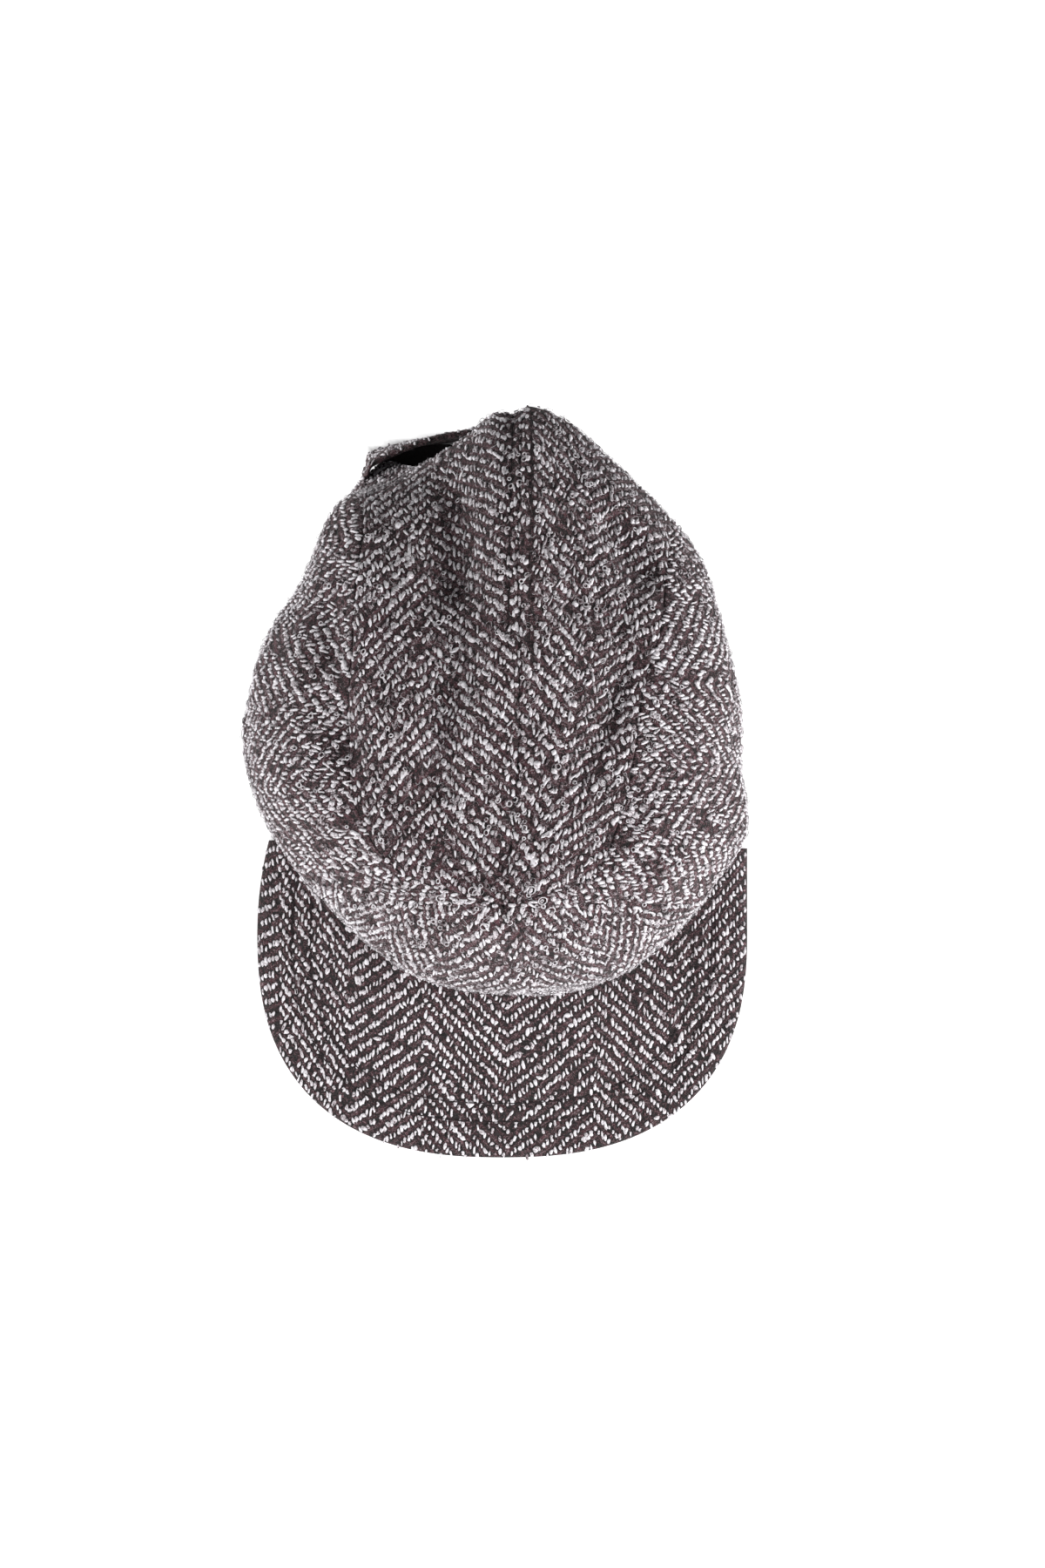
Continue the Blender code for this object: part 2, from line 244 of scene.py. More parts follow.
# Bouclé loops and loose hairs that stand on the crown, but not on its lowest cloth
LOOP_RADIUS = 0.68 * MM
LOOP_THICKNESS = 0.19 * MM
LOOP_LIFT = 2.6 * LOOP_THICKNESS
LOOP_TILT = 0.25
LOOP_SIZE_SPREAD = 0.22
LOOP_OVALS = (0.75, 1.0)
LOOP_TONE = 0.85
LOOP_TONE_SPREAD = 0.14
LOOP_STEPS = 9
LOOP_SIDES = 4
LOOPS_PER_PANEL = 170
HAIR_REACH = 1.6 * MM
HAIR_REACHES = (0.5, 1.2)
HAIR_CURLS = (1.5, 4.5)
HAIR_FLATNESS = 0.6
HAIR_LIFT = 0.22
HAIR_BOWS = (0.2, 0.6)
HAIR_THICKNESS = 0.065 * MM
LIGHT_HAIR_TONE = 0.65
DARK_HAIR_TONE = 0.3
HAIR_TONE_SPREAD = 0.2
HAIR_STEPS = 6
HAIR_SIDES = 3
HAIRS_PER_PANEL = 1300
LOW_CLOTH = 0.030

# Sewing: how far the rows lie beside the centre seam, then the stitches themselves
SEAM_STITCH = 3.6 * MM
STITCH_LENGTH = 2.9 * MM
STITCH_PITCH = 3.4 * MM
STITCH_THICKNESS = 0.22 * MM
STITCH_CLEARANCE = 0.45 * MM
STITCH_ARCH = 1.3 * STITCH_THICKNESS
STITCH_SINK = 0.7 * STITCH_THICKNESS
STITCH_STEPS = 5
STITCH_SIDES = 6
STITCH_TONE = 0.3

# Where the stitches beside the centre seam start, and how far before the arch they end, as ways
SEAM_STITCH_START = 0.26
ARCH_MARGIN = 0.02

# Colours of the wool, from its hollows to its tops; the ground's dark hollows along its light threads are
# painted shade
GROUND_WOOL_AND_SHADE = ((0.0, "#0a0405"), (0.2, "#341a1e"), (0.45, "#5e3b42"), (0.65, "#7b6165"), (1.0, "#bcb7bb"))
LIGHT_WOOL = ((0.0, "#1d1214"), (0.3, "#7a6a6f"), (0.55, "#bdb6ba"), (1.0, "#dedbdf"))
DARK_WOOL = ((0.0, "#12090b"), (1.0, "#3a2329"))

# Sheen: the fuzz catches light at grazing angles, most on the light slubs
GROUND_SHEEN = 0.12
LIGHT_SHEEN = 0.25
DARK_SHEEN = 0.05
SHEEN_SPREAD = 0.5

# Patterns in the wool, each per millimetre: blotches 4 mm wide, single fibres and curly stray hairs,
# with how much of their pattern the hairs take up
BLOTCHES_PER_MM = 0.26
FIBRES_PER_MM = 2.4
SLUB_FIBRES_PER_MM = 2.2
LIGHT_CURLS_PER_MM = 0.62
DARK_CURLS_PER_MM = 0.48
CURL_WIDTH = 0.055

# How much each pattern changes the ground's height or tone, and a slub's tone; the ground's height also
# darkens its colour, so the weave's relief paints shade along the light threads
WEAVE_RELIEF_AND_SHADE = 0.9
FIBRE_RELIEF = 0.6
LIGHT_CURL_RELIEF = 0.55
DARK_CURL_RELIEF = -0.60
BLOTCH_TONE = 0.5
SLUB_GRAIN = 1.2
SLUB_CURLS = 0.65

SEED = 11

# Light: a table that glows to wash out the cap's cast shadow, whose glow ends one and a half cells
# under the cap, where the table is painted dark as shade, a faint sky, and lamps that all face one point
TABLE_SIZE = 6.0
TABLE_CELL = 0.0025
# The table's colours: the dark end is painted shade under the cap, the grey end is where it glows
TABLE_COLOURS_WITH_PAINTED_SHADE = ((0.0, "#2c2628"), (1.0, "#a0a0a0"))
GLOW_REACH = 1.5
SKY_STRENGTH = 0.08
LAMP_AIM = (0, 0, 0.04)
LAMPS = (
    # name, place, size, watts
    ("soft_key", (0.65, -1.15, 1.00), 0.8, 18.5),
    ("soft_right", (1.25, -0.30, 0.52), 0.9, 21.5),
    ("soft_left", (-1.25, -0.20, 0.42), 0.9, 21.0),
    ("soft_top", (0.15, -1.00, 1.55), 1.0, 7.0),
)

# Photograph: its pixels per metre at the surface, the camera's height over that, the picture's
# height in pixels, the point under the camera, and the height of the camera's sensor
PIXELS_PER_METRE = 3200
CAMERA_HEIGHT = 1.5
PICTURE_HEIGHT = 1800
PICTURE_MIDDLE = (0.0078, 0.0003)
SENSOR = 0.036

FRONT_REACH = CROWN_LENGTH * FRONT_SHARE
BACK_REACH = CROWN_LENGTH - FRONT_REACH
LEFT_REACH = CROWN_WIDTH * LEFT_SHARE
RIGHT_REACH = CROWN_WIDTH - LEFT_REACH
MEETING = np.array((MEETING_ASIDE, -MEETING_AHEAD))
PEAK_ROOT = -FRONT_REACH

# The crown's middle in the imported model's frame, from the peak's box
PEAK_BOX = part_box("peak")
MIDDLE = np.array(
    (
        (PEAK_BOX[0][0] + PEAK_BOX[1][0]) / 2 - PEAK_ASIDE,
        PEAK_BOX[0][1] + PEAK_REACH + FRONT_REACH,
        0.0,
    )
)


def ease_through(position, table):
    """Read a table, whose first column holds the places, at many positions on smooth curves."""
    places = table[:, 0]
    values = table[:, 1:]
    order = np.arange(len(places))
    low = np.maximum(order - 1, 0)
    high = np.minimum(order + 1, len(places) - 1)
    slopes = (values[high] - values[low]) / (places[high] - places[low])[:, None]
    index = np.clip(np.searchsorted(places, position) - 1, 0, len(places) - 2)
    span = (places[index + 1] - places[index])[..., None]
    share = np.clip((position - places[index])[..., None] / span, 0, 1)
    rise = values[index + 1] - values[index]
    out = slopes[index] * span
    into = slopes[index + 1] * span
    bend = out + into - 2 * rise
    return values[index] + share * (out + share * (3 * rise - 2 * out - into + share * bend))


def repeat_round(table):
    """The sections with a copy before and after, so that they can be read across station 0."""
    turn = np.zeros(table.shape[1])
    turn[0] = 360
    return np.vstack((table - turn, table, table + turn))


SECTION_TABLE = repeat_round(np.array(SECTIONS))
STAND_TABLE = np.array(STRAP_STANDS)


def sections_at(station):
    """Bulge, roundness, widest and inset at each station."""
    return np.moveaxis(ease_through(station % 360, SECTION_TABLE), -1, 0)


def signed_power(value, power):
    return np.sign(value) * np.abs(value) ** power


def plain_outline(station):
    """Points on the crown's rounded outline, before it bulges, seen from above."""
    turn = np.radians(station)
    across = np.cos(turn)
    along = np.sin(turn)
    front = np.where(across > 0, FRONT_RIGHT_SQUARENESS, FRONT_LEFT_SQUARENESS)
    power = 2 / np.where(along > 0, BACK_SQUARENESS, front)
    side = np.where(across > 0, RIGHT_REACH, LEFT_REACH)
    length = np.where(along > 0, BACK_REACH, FRONT_REACH)
    return np.stack((side * signed_power(across, power), length * signed_power(along, power)), -1)


def outline(station):
    """Points on the widest line of the crown, seen from above."""
    away = plain_outline(station) - MEETING
    bulge = sections_at(station)[0] * CROWN_WIDTH
    return MEETING + away * (1 + bulge / np.hypot(away[..., 0], away[..., 1]))[..., None]


def peak_under(place):
    """Height of the underside of the peak: arched across, and drooping towards its front."""
    across = (place[..., 0] - PEAK_ASIDE) / (PEAK_WIDTH / 2)
    ahead = np.clip((PEAK_ROOT - place[..., 1]) / PEAK_REACH, 0, 1)
    return PEAK_RISE * (1 - PEAK_DROOP * ahead) * np.maximum(1 - across**2, 0)


def dent_at(place):
    """Depth of the dents at places seen from above."""
    depth = np.zeros(place.shape[:-1])
    for across, along, half_width, half_length, share in DENTS:
        aside = (place[..., 0] / CROWN_WIDTH - across) / half_width
        ahead = (place[..., 1] / CROWN_LENGTH - along) / half_length
        depth += share * CROWN_HEIGHT * np.exp(-(aside**2) - ahead**2)
    return depth


def crown_skin(station, way, dented=True):
    """Points on the outer face of the crown: way 0 is the meeting point and way 1 the rim."""
    roundness, widest, inset = sections_at(station)[1:]
    line = outline(station) - MEETING
    length = np.hypot(line[..., 0], line[..., 1])
    widest_height = widest * CROWN_HEIGHT
    turn = np.clip(way / WALL_START, 0, 1) * math.pi / 2
    upper = MEETING + line * (np.sin(turn) ** (2 / roundness))[..., None]
    share = np.clip(np.cos(turn), 0, 1) ** (2 / roundness)
    upper_height = widest_height + (CROWN_HEIGHT - widest_height) * share
    if dented:
        upper_height = upper_height - dent_at(upper) * np.sqrt(share)
    down = np.clip((way - WALL_START) / (1 - WALL_START), 0, 1)
    drawn_in = inset * CROWN_WIDTH * np.sin(down * math.pi / 2) ** 2
    lower = MEETING + line * (1 - drawn_in / length)[..., None]
    wrapped = station % 360
    over_peak = (wrapped > PEAK_ENDS[0]) & (wrapped < PEAK_ENDS[1])
    rim = np.where(over_peak, peak_under(lower), 0.0)
    lower_height = widest_height + (rim - widest_height) * down
    wall = way >= WALL_START
    place = np.where(wall[..., None], lower, upper)
    return np.concatenate((place, np.where(wall, lower_height, upper_height)[..., None]), -1)


def crown_slopes(station, way):
    """How the outer face runs: for one step down towards the rim, and for one degree round."""
    low = np.maximum(way - STEP, 0)
    high = np.minimum(way + STEP, 1)
    down = (crown_skin(station, high) - crown_skin(station, low)) / (high - low)[..., None]
    around = crown_skin(station + 0.5, way) - crown_skin(station - 0.5, way)
    return down, around


def unit(vectors):
    return vectors / np.maximum(np.linalg.norm(vectors, axis=-1, keepdims=True), 1e-12)


def station_towards(direction):
    """The station where a line from the meeting point in a direction reaches the outline."""
    stations = np.linspace(0, 360, 360 * STATIONS_PER_DEGREE + 1)
    away = outline(stations) - MEETING
    angles = np.unwrap(np.arctan2(away[:, 1], away[:, 0]))
    target = math.atan2(direction[1], direction[0])
    target = angles[0] + (target - angles[0]) % (2 * math.pi)
    return float(np.interp(target, angles, stations))


def way_at(turn):
    """The way down the upper face at an angle, which is 0 at the top and a quarter turn at its foot."""
    return turn * 2 / math.pi * WALL_START


def seam_table(places, rim_station):
    """A seam's ways and stations, from its places seen from above."""
    rows = []
    for across, along in places:
        direction = np.array((across * CROWN_WIDTH, along * CROWN_LENGTH)) - MEETING
        station = station_towards(direction)
        reach = np.hypot(*direction) / np.hypot(*(outline(np.array(station)) - MEETING))
        way = way_at(math.asin(reach ** (sections_at(np.array(station))[1] / 2)))
        rows.append((way, station - 360 if station - rim_station > 180 else station))
    return np.array([(0.0, rows[0][1]), *rows, (1.0, rim_station)])


SEAM_TABLES = {name: seam_table(*route) for name, route in SEAMS.items()}


def seam_at(name, way):
    """The station where a seam lies at each way from the meeting point to the rim."""
    return ease_through(way, SEAM_TABLES[name])[..., 0]


def beside_seam(name, way, turns, offset):
    """The station at a distance beside a seam, measured square to it."""
    station = seam_at(name, way) + turns
    low = np.maximum(way - STEP, 0)
    high = np.minimum(way + STEP, 1)
    upper = crown_skin(seam_at(name, low) + turns, low)
    lower = crown_skin(seam_at(name, high) + turns, high)
    along = unit(lower - upper)
    around = crown_slopes(station, way)[1]
    apart = np.linalg.norm(around - along * (around * along).sum(-1, keepdims=True), axis=-1)
    return station + offset / apart


def arch_way(station):
    """How far down a back panel reaches: to the rim, or to the edge of the arch."""
    middle = (ARCH_ENDS[0] + ARCH_ENDS[1]) / 2
    share = np.clip(np.abs(station - middle) / (ARCH_ENDS[1] - middle), 0, 1)
    top = ARCH_HEIGHT * (1 - share**ARCH_SQUARENESS) ** (1 / ARCH_SQUARENESS)
    roundness, widest = sections_at(station)[1:3]
    widest_height = widest * CROWN_HEIGHT
    wall = 1 - (1 - WALL_START) * np.minimum(top / widest_height, 1)
    height_share = np.clip((top - widest_height) / (CROWN_HEIGHT - widest_height), 0, 1)
    return np.where(top < widest_height, wall, way_at(np.arccos(height_share ** (roundness / 2))))


def whole_way(station):
    return np.ones_like(station)


# Small, smooth unevenness of the cloth: waves of these lengths and heights in random directions
RUMPLES = (
    # wavelength, height
    (0.060, 0.00055),
    (0.034, 0.00045),
    (0.019, 0.00030),
)
RUMPLE_WAVES = 5

# Lengths of the waves by which the light threads crowd together and thin out
PATCH_WAVELENGTHS = (0.009, 0.014, 0.022)
PATCH_WAVES = 4
PATCH_STRENGTH = 0.25


def random_waves(points, wavelength, count, dice):
    """The sum, at each point, of smooth waves of one length in random directions."""
    total = np.zeros(points.shape[:-1])
    for _ in range(count):
        direction = unit(dice.normal(size=3)) * 2 * math.pi / wavelength
        total += np.sin(points @ direction + dice.uniform(0, 2 * math.pi))
    return total


def rumple(points):
    """Gentle unevenness at each point."""
    dice = np.random.default_rng(SEED)
    return sum(height / 2 * random_waves(points, wave, RUMPLE_WAVES, dice) for wave, height in RUMPLES)


def patches(points):
    """Where the light threads crowd together (up to 1) and where they thin out (down to -1)."""
    dice = np.random.default_rng(SEED + 1)
    total = sum(random_waves(points, wave, PATCH_WAVES, dice) for wave in PATCH_WAVELENGTHS)
    return np.clip(total * PATCH_STRENGTH, -1, 1)


# Soft folds of the slumped crown, seen from above
FOLDS = (
    # height, half width, then places as shares of the width and length
    (1.0 * MM, 4.5 * MM, ((-0.396, -0.096), (-0.252, -0.181), (-0.202, -0.275), (-0.147, -0.305))),
    (
        1.0 * MM,
        4.5 * MM,
        ((0.349, -0.107), (0.286, -0.139), (0.215, -0.205), (0.186, -0.280), (0.095, -0.375)),
    ),
    (
        -0.8 * MM,
        4.5 * MM,
        ((0.390, -0.125), (0.320, -0.165), (0.250, -0.225), (0.220, -0.300), (0.185, -0.370)),
    ),
    (-4.2 * MM, 7.0 * MM, ((-0.106, 0.400), (-0.096, 0.255))),
    (-2.8 * MM, 6.0 * MM, ((0.209, 0.350), (0.267, 0.271))),
    (
        -2.3 * MM,
        5.5 * MM,
        (
            (0.118, 0.224),
            (0.209, 0.185),
            (0.234, 0.135),
            (0.209, 0.064),
            (0.184, 0.006),
            (0.151, -0.051),
        ),
    ),
    (-2.3 * MM, 6.0 * MM, ((-0.081, 0.178), (-0.084, 0.078), (-0.118, 0.021), (-0.126, -0.079))),
    (-2.0 * MM, 7.0 * MM, ((-0.330, 0.028), (-0.297, -0.015))),
    (-1.2 * MM, 4.0 * MM, ((-0.340, 0.207), (-0.333, 0.142))),
    (-1.0 * MM, 4.0 * MM, ((-0.227, 0.235), (-0.220, 0.078))),
    (1.2 * MM, 4.5 * MM, ((-0.272, 0.264), (-0.277, 0.114))),
)


def folds(points):
    """How far the soft folds lift the cloth."""
    total = np.zeros(points.shape[:-1])
    size = np.array((CROWN_WIDTH, CROWN_LENGTH))
    for height, half_width, places in FOLDS:
        apart = np.full(points.shape[:-1], np.inf)
        for start, end in zip(places, places[1:]):
            first = np.array(start) * size
            way = np.array(end) * size - first
            gap = points[..., :2] - first
            share = np.clip((gap * way).sum(-1) / (way * way).sum(), 0, 1)
            apart = np.minimum(apart, np.linalg.norm(gap - share[..., None] * way, axis=-1))
        total += height * np.exp(-((apart / half_width) ** 2))
    return total


def grid_normals(points):
    """Outward directions of a grid of points whose rows run down and columns run round."""
    down = np.gradient(points, axis=0)
    around = np.gradient(points, axis=1)
    return unit(np.cross(down, around))


def linear(hex_colour):
    """An sRGB hex colour as linear red, green, blue and alpha."""
    values = [int(hex_colour[i : i + 2], 16) / 255 for i in (1, 3, 5)]
    return (*[v / 12.92 if v <= 0.04045 else ((v + 0.055) / 1.055) ** 2.4 for v in values], 1.0)


MATH = "ShaderNodeMath"
NOISE = "ShaderNodeTexNoise"


def set_inputs(tree, node, inputs):
    """Give a node's inputs their values, or link them to a socket or to another node's first output."""
    for socket, value in inputs.items():
        if isinstance(value, bpy.types.Node):
            value = value.outputs[0]
        if isinstance(value, bpy.types.NodeSocket):
            tree.links.new(value, node.inputs[socket])
        else:
            node.inputs[socket].default_value = value


def add_node(tree, kind, inputs=(), **settings):
    """Add a shader node with its settings and its inputs."""
    node = tree.nodes.new(kind)
    for key, value in settings.items():
        setattr(node, key, value)
    set_inputs(tree, node, dict(inputs))
    return node


def set_stops(ramp, stops):
    """Give a colour ramp its places and hex colours."""
    elements = ramp.color_ramp.elements
    while len(elements) < len(stops):
        elements.new(0.5)
    for element, (place, colour) in zip(elements, stops):
        element.position = place
        element.color = linear(colour)


def new_material(name, colour, roughness):
    """A material that is neither metal nor clear, with its node tree and its shader."""
    material = bpy.data.materials.new(name)
    material.use_nodes = True
    material.diffuse_color = linear(colour)
    tree = material.node_tree
    shader = tree.nodes["Principled BSDF"]
    set_inputs(tree, shader, {"IOR": 1.5, "Metallic": 0.0, "Roughness": roughness})
    return material, tree, shader


def curl_lines(tree, place, per_mm):
    """Thin curly lines, like loose hairs that lie on the cloth: 1 on a line and 0 off it."""
    settings = {"Vector": place, "Scale": per_mm / MM, "Detail": 1.5, "Roughness": 0.6, "Distortion": 1.2}
    noise = add_node(tree, NOISE, settings)
    away = add_node(tree, MATH, {0: noise, 1: 0.5}, operation="SUBTRACT")
    away = add_node(tree, MATH, {0: away}, operation="ABSOLUTE")
    away = add_node(tree, MATH, {0: away, 1: CURL_WIDTH}, operation="DIVIDE")
    return add_node(tree, MATH, {0: 1.0, 1: away}, operation="SUBTRACT", use_clamp=True)


def twill_distance(tree):
    """How far each place lies from the light threads of the twill: 0 on one, 0.5 between two."""
    uv = add_node(tree, "ShaderNodeUVMap", uv_map="threads")
    threads = add_node(tree, "ShaderNodeSeparateXYZ", {0: uv}).outputs
    stripe = add_node(tree, MATH, {0: threads[0], 1: STRIPE / MM}, operation="DIVIDE")
    stripe = add_node(tree, MATH, {0: stripe}, operation="FLOOR")
    odd = add_node(tree, MATH, {0: stripe, 1: 2.0}, operation="FLOORED_MODULO")
    start = add_node(tree, MATH, {0: stripe, 1: STRIPE / MM}, operation="MULTIPLY")
    local = add_node(tree, MATH, {0: threads[0], 1: start}, operation="SUBTRACT")
    # The twill climbs in even stripes and falls in odd ones
    climb = TWILL_STEP * MM / THREAD
    lean = add_node(tree, MATH, {0: odd, 1: 2 * climb}, operation="MULTIPLY")
    lean = add_node(tree, MATH, {0: climb, 1: lean}, operation="SUBTRACT")
    phase = add_node(tree, MATH, {0: lean, 1: local}, operation="MULTIPLY")
    for pattern, shift in ((odd, 0.5), (stripe, STRIPE_SHIFT)):
        phase = add_node(tree, MATH, {0: pattern, 1: shift, 2: phase}, operation="MULTIPLY_ADD")
    row = add_node(tree, MATH, {0: threads[1], 1: REPEAT / MM}, operation="DIVIDE")
    row = add_node(tree, MATH, {0: row, 1: phase}, operation="SUBTRACT")
    # Counted from a hundred rows below, every row has a positive number
    row = add_node(tree, MATH, {0: row, 1: 100.0}, operation="ADD")
    return add_node(tree, MATH, {0: row, 1: 0.5}, operation="PINGPONG")


def ground_material(name, shade):
    """Felted wool: matt plum-brown cloth with stray hairs, painted darkest along its light threads as shade
    from the slubs there.
    """
    material, tree, shader = new_material(name, "#4e3b3f", 0.95)
    place = add_node(tree, "ShaderNodeTexCoord").outputs["Object"]
    blotch_settings = {"Vector": place, "Scale": BLOTCHES_PER_MM / MM, "Detail": 4.0, "Roughness": 0.6}
    blotches = add_node(tree, NOISE, blotch_settings)
    fibre_settings = {"Vector": place, "Scale": FIBRES_PER_MM / MM, "Detail": 3.0, "Roughness": 0.7}
    fibres = add_node(tree, NOISE, fibre_settings)
    reliefs = (
        (twill_distance(tree), WEAVE_RELIEF_AND_SHADE),
        (fibres, FIBRE_RELIEF),
        (curl_lines(tree, place, LIGHT_CURLS_PER_MM), LIGHT_CURL_RELIEF),
        (curl_lines(tree, place, DARK_CURLS_PER_MM), DARK_CURL_RELIEF),
    )
    height = 0.0
    for pattern, relief in reliefs:
        height = add_node(tree, MATH, {0: pattern, 1: relief, 2: height}, operation="MULTIPLY_ADD")
    # The height darkens the colour too: along the light threads this is painted shade from the slubs
    tone = add_node(tree, MATH, {0: blotches, 1: BLOTCH_TONE, 2: height}, operation="MULTIPLY_ADD")
    tone = add_node(tree, MATH, {0: tone, 1: shade}, operation="SUBTRACT", use_clamp=True)
    colour = add_node(tree, "ShaderNodeValToRGB", {"Fac": tone})
    set_stops(colour, GROUND_WOOL_AND_SHADE)
    bump = add_node(tree, "ShaderNodeBump", {"Height": height, "Strength": 1.0, "Distance": 0.5 * MM})
    set_inputs(tree, shader, {"Base Color": colour, "Normal": bump})
    set_inputs(tree, shader, {"Sheen Weight": GROUND_SHEEN, "Sheen Roughness": SHEEN_SPREAD})
    return material


def slub_material(name, stops, sheen):
    """Loosely spun wool: each slub keeps its own tone, broken up by fine fibres and darker hairs."""
    material, tree, shader = new_material(name, stops[-1][1], 0.9)
    tone = add_node(tree, "ShaderNodeAttribute", attribute_name="tone").outputs["Fac"]
    place = add_node(tree, "ShaderNodeTexCoord").outputs["Object"]
    settings = {"Vector": place, "Scale": SLUB_FIBRES_PER_MM / MM, "Detail": 3.0, "Roughness": 0.75}
    fibres = add_node(tree, NOISE, settings)
    curls = curl_lines(tree, place, DARK_CURLS_PER_MM)
    grain = add_node(tree, MATH, {0: fibres, 1: 0.5}, operation="SUBTRACT")
    grain = add_node(tree, MATH, {0: grain, 1: SLUB_GRAIN}, operation="MULTIPLY")
    grain = add_node(tree, MATH, {0: curls, 1: -SLUB_CURLS, 2: grain}, operation="MULTIPLY_ADD")
    tone = add_node(tree, MATH, {0: tone, 1: grain}, operation="ADD", use_clamp=True)
    colour = add_node(tree, "ShaderNodeValToRGB", {"Fac": tone})
    set_stops(colour, stops)
    bump = add_node(tree, "ShaderNodeBump", {"Height": fibres, "Strength": 0.8, "Distance": 0.25 * MM})
    set_inputs(tree, shader, {"Base Color": colour, "Normal": bump})
    set_inputs(tree, shader, {"Sheen Weight": sheen, "Sheen Roughness": SHEEN_SPREAD})
    return material


def add_mesh(name, points, faces, material, smooth=True):
    """A new piece from an array of points and a list of faces."""
    mesh = bpy.data.meshes.new(name)
    mesh.from_pydata(points.tolist(), [], faces)
    mesh.update()
    mesh.polygons.foreach_set("use_smooth", [smooth] * len(mesh.polygons))
    mesh.materials.append(material)
    piece = bpy.data.objects.new(name, mesh)
    bpy.context.scene.collection.objects.link(piece)
    return piece


def finish_piece(piece, slot, *nodes):
    """Let a piece ride on the cap's one body, in place of the nodes that it remakes. The slot is not used.
    """
    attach(piece, "root")
    if nodes:
        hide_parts(*nodes)


def set_threads(piece, threads):
    """Store each vertex's place along and across the threads, in millimetres, as a UV map."""
    mesh = piece.data
    layer = mesh.uv_layers.new(name="threads")
    corners = np.empty(len(mesh.loops), dtype=np.int32)
    mesh.loops.foreach_get("vertex_index", corners)
    layer.data.foreach_set("uv", (threads[corners] / MM).astype(np.float32).ravel())


def grid_faces(rows, columns, start=0, flip=False):
    """Quads of a grid of points numbered row by row."""
    index = np.arange(rows * columns).reshape(rows, columns) + start
    quads = np.stack((index[:-1, :-1], index[1:, :-1], index[1:, 1:], index[:-1, 1:]), -1).reshape(-1, 4)
    return quads[:, ::-1] if flip else quads


def shell(name, skin, lining, threads, material):
    """A closed wall between an outer and an inner grid of points."""
    rows, columns = skin.shape[:2]
    count = rows * columns
    index = np.arange(count).reshape(rows, columns)
    border = np.concatenate((index[0, :], index[1:, -1], index[-1, -2::-1], index[-2:0:-1, 0]))
    following = np.roll(border, -1)
    edge = np.stack((following, following + count, border + count, border), -1)
    faces = np.concatenate((grid_faces(rows, columns), grid_faces(rows, columns, count, True), edge))
    points = np.concatenate((skin.reshape(-1, 3), lining.reshape(-1, 3)))
    piece = add_mesh(name, points, faces.tolist(), material)
    work = bmesh.new()
    work.from_mesh(piece.data)
    bmesh.ops.recalc_face_normals(work, faces=work.faces)
    work.to_mesh(piece.data)
    work.free()
    set_threads(piece, np.concatenate((threads.reshape(-1, 2),) * 2))
    return piece


def slub_template():
    """Points (along, across, up) and faces of one spindle-shaped slub."""
    points = [(-1.0, 0.0, 0.0)]
    for along, size in SLUB_RINGS:
        for side in range(SLUB_SIDES):
            turn = (side + 0.25) / SLUB_SIDES * 2 * math.pi
            points.append((along, size * math.cos(turn), size * math.sin(turn)))
    points.append((1.0, 0.0, 0.0))
    tip = len(points) - 1
    faces = []
    for side in range(SLUB_SIDES):
        after = (side + 1) % SLUB_SIDES
        faces.append((0, 1 + after, 1 + side))
        for ring in range(len(SLUB_RINGS) - 1):
            first = 1 + ring * SLUB_SIDES
            second = first + SLUB_SIDES
            faces.append((first + side, first + after, second + after, second + side))
        last = tip - SLUB_SIDES
        faces.append((last + side, last + after, tip))
    return np.array(points), faces


def add_copies(name, points, faces, tones, material, slot):
    """Many copies of a small shape as one piece: each one's points and tone, and their faces."""
    count = points.shape[1]
    all_faces = []
    for offset in range(0, count * len(points), count):
        all_faces.extend([offset + corner for corner in face] for face in faces)
    piece = add_mesh(name, points.reshape(-1, 3), all_faces, material)
    tone = piece.data.attributes.new("tone", "FLOAT", "POINT")
    tone.data.foreach_set("value", np.repeat(tones, count).astype(np.float32))
    finish_piece(piece, slot)


def triangles_of(grid):
    """Both triangles of each quad of a grid, as arrays of corner values."""
    corners = (grid[:-1, :-1], grid[1:, :-1], grid[1:, 1:], grid[:-1, 1:])
    a, b, c, d = (corner.reshape(-1, grid.shape[-1]) for corner in corners)
    return np.concatenate((np.stack((a, b, c), 1), np.stack((a, c, d), 1)))


def twill_phase(thread):
    """Where the floats of each thread start, in repeats, for stripes that turn back and forth."""
    stripe = np.floor(thread * THREAD / STRIPE)
    odd = stripe % 2
    local = thread - stripe * STRIPE / THREAD
    return (1 - 2 * odd) * local * TWILL_STEP + 0.5 * odd + STRIPE_SHIFT * stripe


